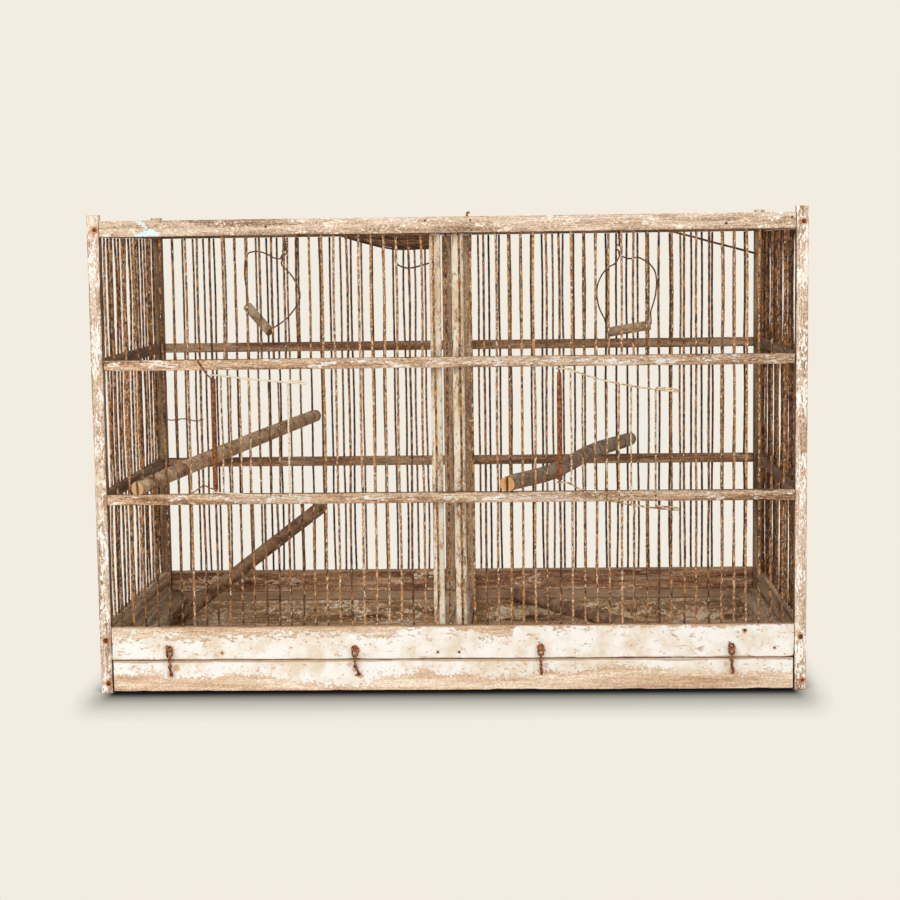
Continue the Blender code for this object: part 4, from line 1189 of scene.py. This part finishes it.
def build_swing(side, x, turn, lean, loop, ends):
    """A hook with its twisted shank, the wire loop that hangs from it, and the dowel between the loop's ends."""
    across = Vector((-sin(turn), cos(turn), 0))
    middle = Vector((x, 0, 0))
    high = [middle + Vector((0, 0, z * MM)) for z in (470, 463)]
    high.append(Vector((x, 0, swing_z + 5 * MM)) + across * hook_radius * 0.6)
    bow = [Vector((x, 0, swing_z + z)) + across * away for away, z in arc((0, 0), hook_radius, 0, -pi, 10)]
    tip = Vector((x, 0, swing_z + 4 * MM)) - across * hook_radius
    shape = bmesh.new()
    tube(shape, resampled(high[:1] + rounded(high[1:] + bow, 4) + [tip], 0.8 * MM), 0.8 * MM, 8, 0.2, 0.1, x * 100)
    twist = []
    for n in range(40):
        angle = 2 * pi * n / 9
        level = 464.5 * MM - n * 0.28 * MM
        aside = across * (hook_radius * 0.6 * min(1, max(0, (463 * MM - level) / (9 * MM))))
        twist.append(Vector((x + 1.35 * MM * cos(angle), 1.35 * MM * sin(angle), level)) + aside)
    tube(shape, twist, 0.55 * MM, 6, 0.2, 0.1, x * 50)
    link_wire(f"{side}_swing_hook_twisted", shape, look_swing, f"{side}_swing_hook")

    def hung(a, b):
        """A point of the swing's plane: a along the dowel, b up from the hook's bow."""
        u = a * cos(lean) - (b + neck_radius) * sin(lean)
        w = a * sin(lean) + (b + neck_radius) * cos(lean) - neck_radius
        return Vector((x + u * cos(turn), u * sin(turn), swing_z + w))

    spread = asin(1.1 * MM / neck_radius)
    ring = arc((0, -neck_radius), neck_radius, -pi / 2 + spread, 2 * pi - 2 * spread, 14)
    ends = [Vector(end) * MM for end in ends]
    inward = (ends[1] - ends[0]).normalized() * 6 * MM
    limbs = []
    for limb, end, way in zip(loop, ends, (-1, 1)):
        limbs.append([mm(way * 1.1, -12.5)] + [mm(*p) for p in limb] + [tuple(end), tuple(end - way * inward)])
    bends = [hung(*p) for p in limbs[0][::-1] + ring[::-1] + limbs[1]]
    shape = bmesh.new()
    tube(shape, resampled(rounded(bends, 3), 1.2 * MM), 0.8 * MM, 8, 0.15, 0.1, x * 70)
    wrap = []
    for n in range(31):
        angle = 2 * pi * n / 9
        wrap.append(hung(1.9 * MM * cos(angle), -7.2 * MM - n * 0.17 * MM) + across * (1.25 * MM * sin(angle)))
    tube(shape, wrap, 0.45 * MM, 6, 0.2, 0.1, x * 60)
    link_wire(f"{side}_swing_loop_wire", shape, look_swing, f"{side}_swing_loop", f"{side}_swing")
    start, end = (hung(*end) for end in ends)
    stick(f"{side}_swing_dowel", look_dowel, start, end, 5.2 * MM, seed=x * 40, rough=0.5, body=f"{side}_swing")


left_ends, right_ends = ((-19.5, -86.3), (25.2, -90.8)), ((-24.2, -92.0), (22.0, -90.6))
build_swing("left", -181.3 * MM, radians(-39.4), radians(-32.3), left_loop, left_ends)
build_swing("right", 180.7 * MM, 0.0, radians(7.5), right_loop, right_ends)

# ---- Perches

look_perch = bark("perch", ((106, 74, 50), (178, 144, 112), (212, 184, 152)), 1.0, 0.55, (208, 164, 116))
look_perch_right = bark("perch_right", ((92, 72, 56), (146, 122, 99), (182, 158, 132)), 2.0, 0.6, (226, 164, 98))
look_perch_fallen = bark("perch_fallen", ((78, 54, 38), (140, 108, 82), (176, 142, 112)), 4.0, 0.2)
slat_top = 203.75 * MM

for side, bars, radius, back_z, bow, look, slim, thick, wave in (
    ("left", (-25, -14), 7.3 * MM, 251 * MM, 1.4 * MM, look_perch, 0.97, 0.13, 0.0),
    ("right", (5, 16), 7.9 * MM, 220.5 * MM, -1.5 * MM, look_perch_right, 0.98, 0.08, -4 * MM),
):
    front = Vector((bars[0] * bar_pitch, front_bar_y, slat_top + radius + 0.6 * MM))
    back = Vector((bars[1] * bar_pitch, -front_bar_y, back_z))
    past = (back - front).normalized() * 9.5 * MM
    stick(
        f"{side}_perch", look, front - past, back + past, radius, bow, bars[0],
        cuts=[(end, 14 * MM, 3 * MM, pi / 2, (0, 0)) for end in ("start", "end")],
        profile=lambda t: slim + thick * sin(pi * t) ** 0.7, wave=wave,
    )
for side, foot, head, bow, seed, cuts in (
    ("left", (-334, 135, 15.2), (-156, 161.25, 150.8), 0.6 * MM, 61,
     (("start", 0.35, (10, 0)), ("end", 0.3, (0, 9)))),
    ("right", (290, -59.5, 15.2), (63.5, 160.7, 38.7), 0.0, 63, (("start", 0.4, (0, 9)),)),
):
    stick(
        f"{side}_fallen_perch", look_perch_fallen, Vector(foot) * MM, Vector(head) * MM, 7.8 * MM, bow, seed,
        cuts=[(which, 15 * MM, 2.6 * MM, turn, mm(*losses)) for which, turn, losses in cuts],
    )
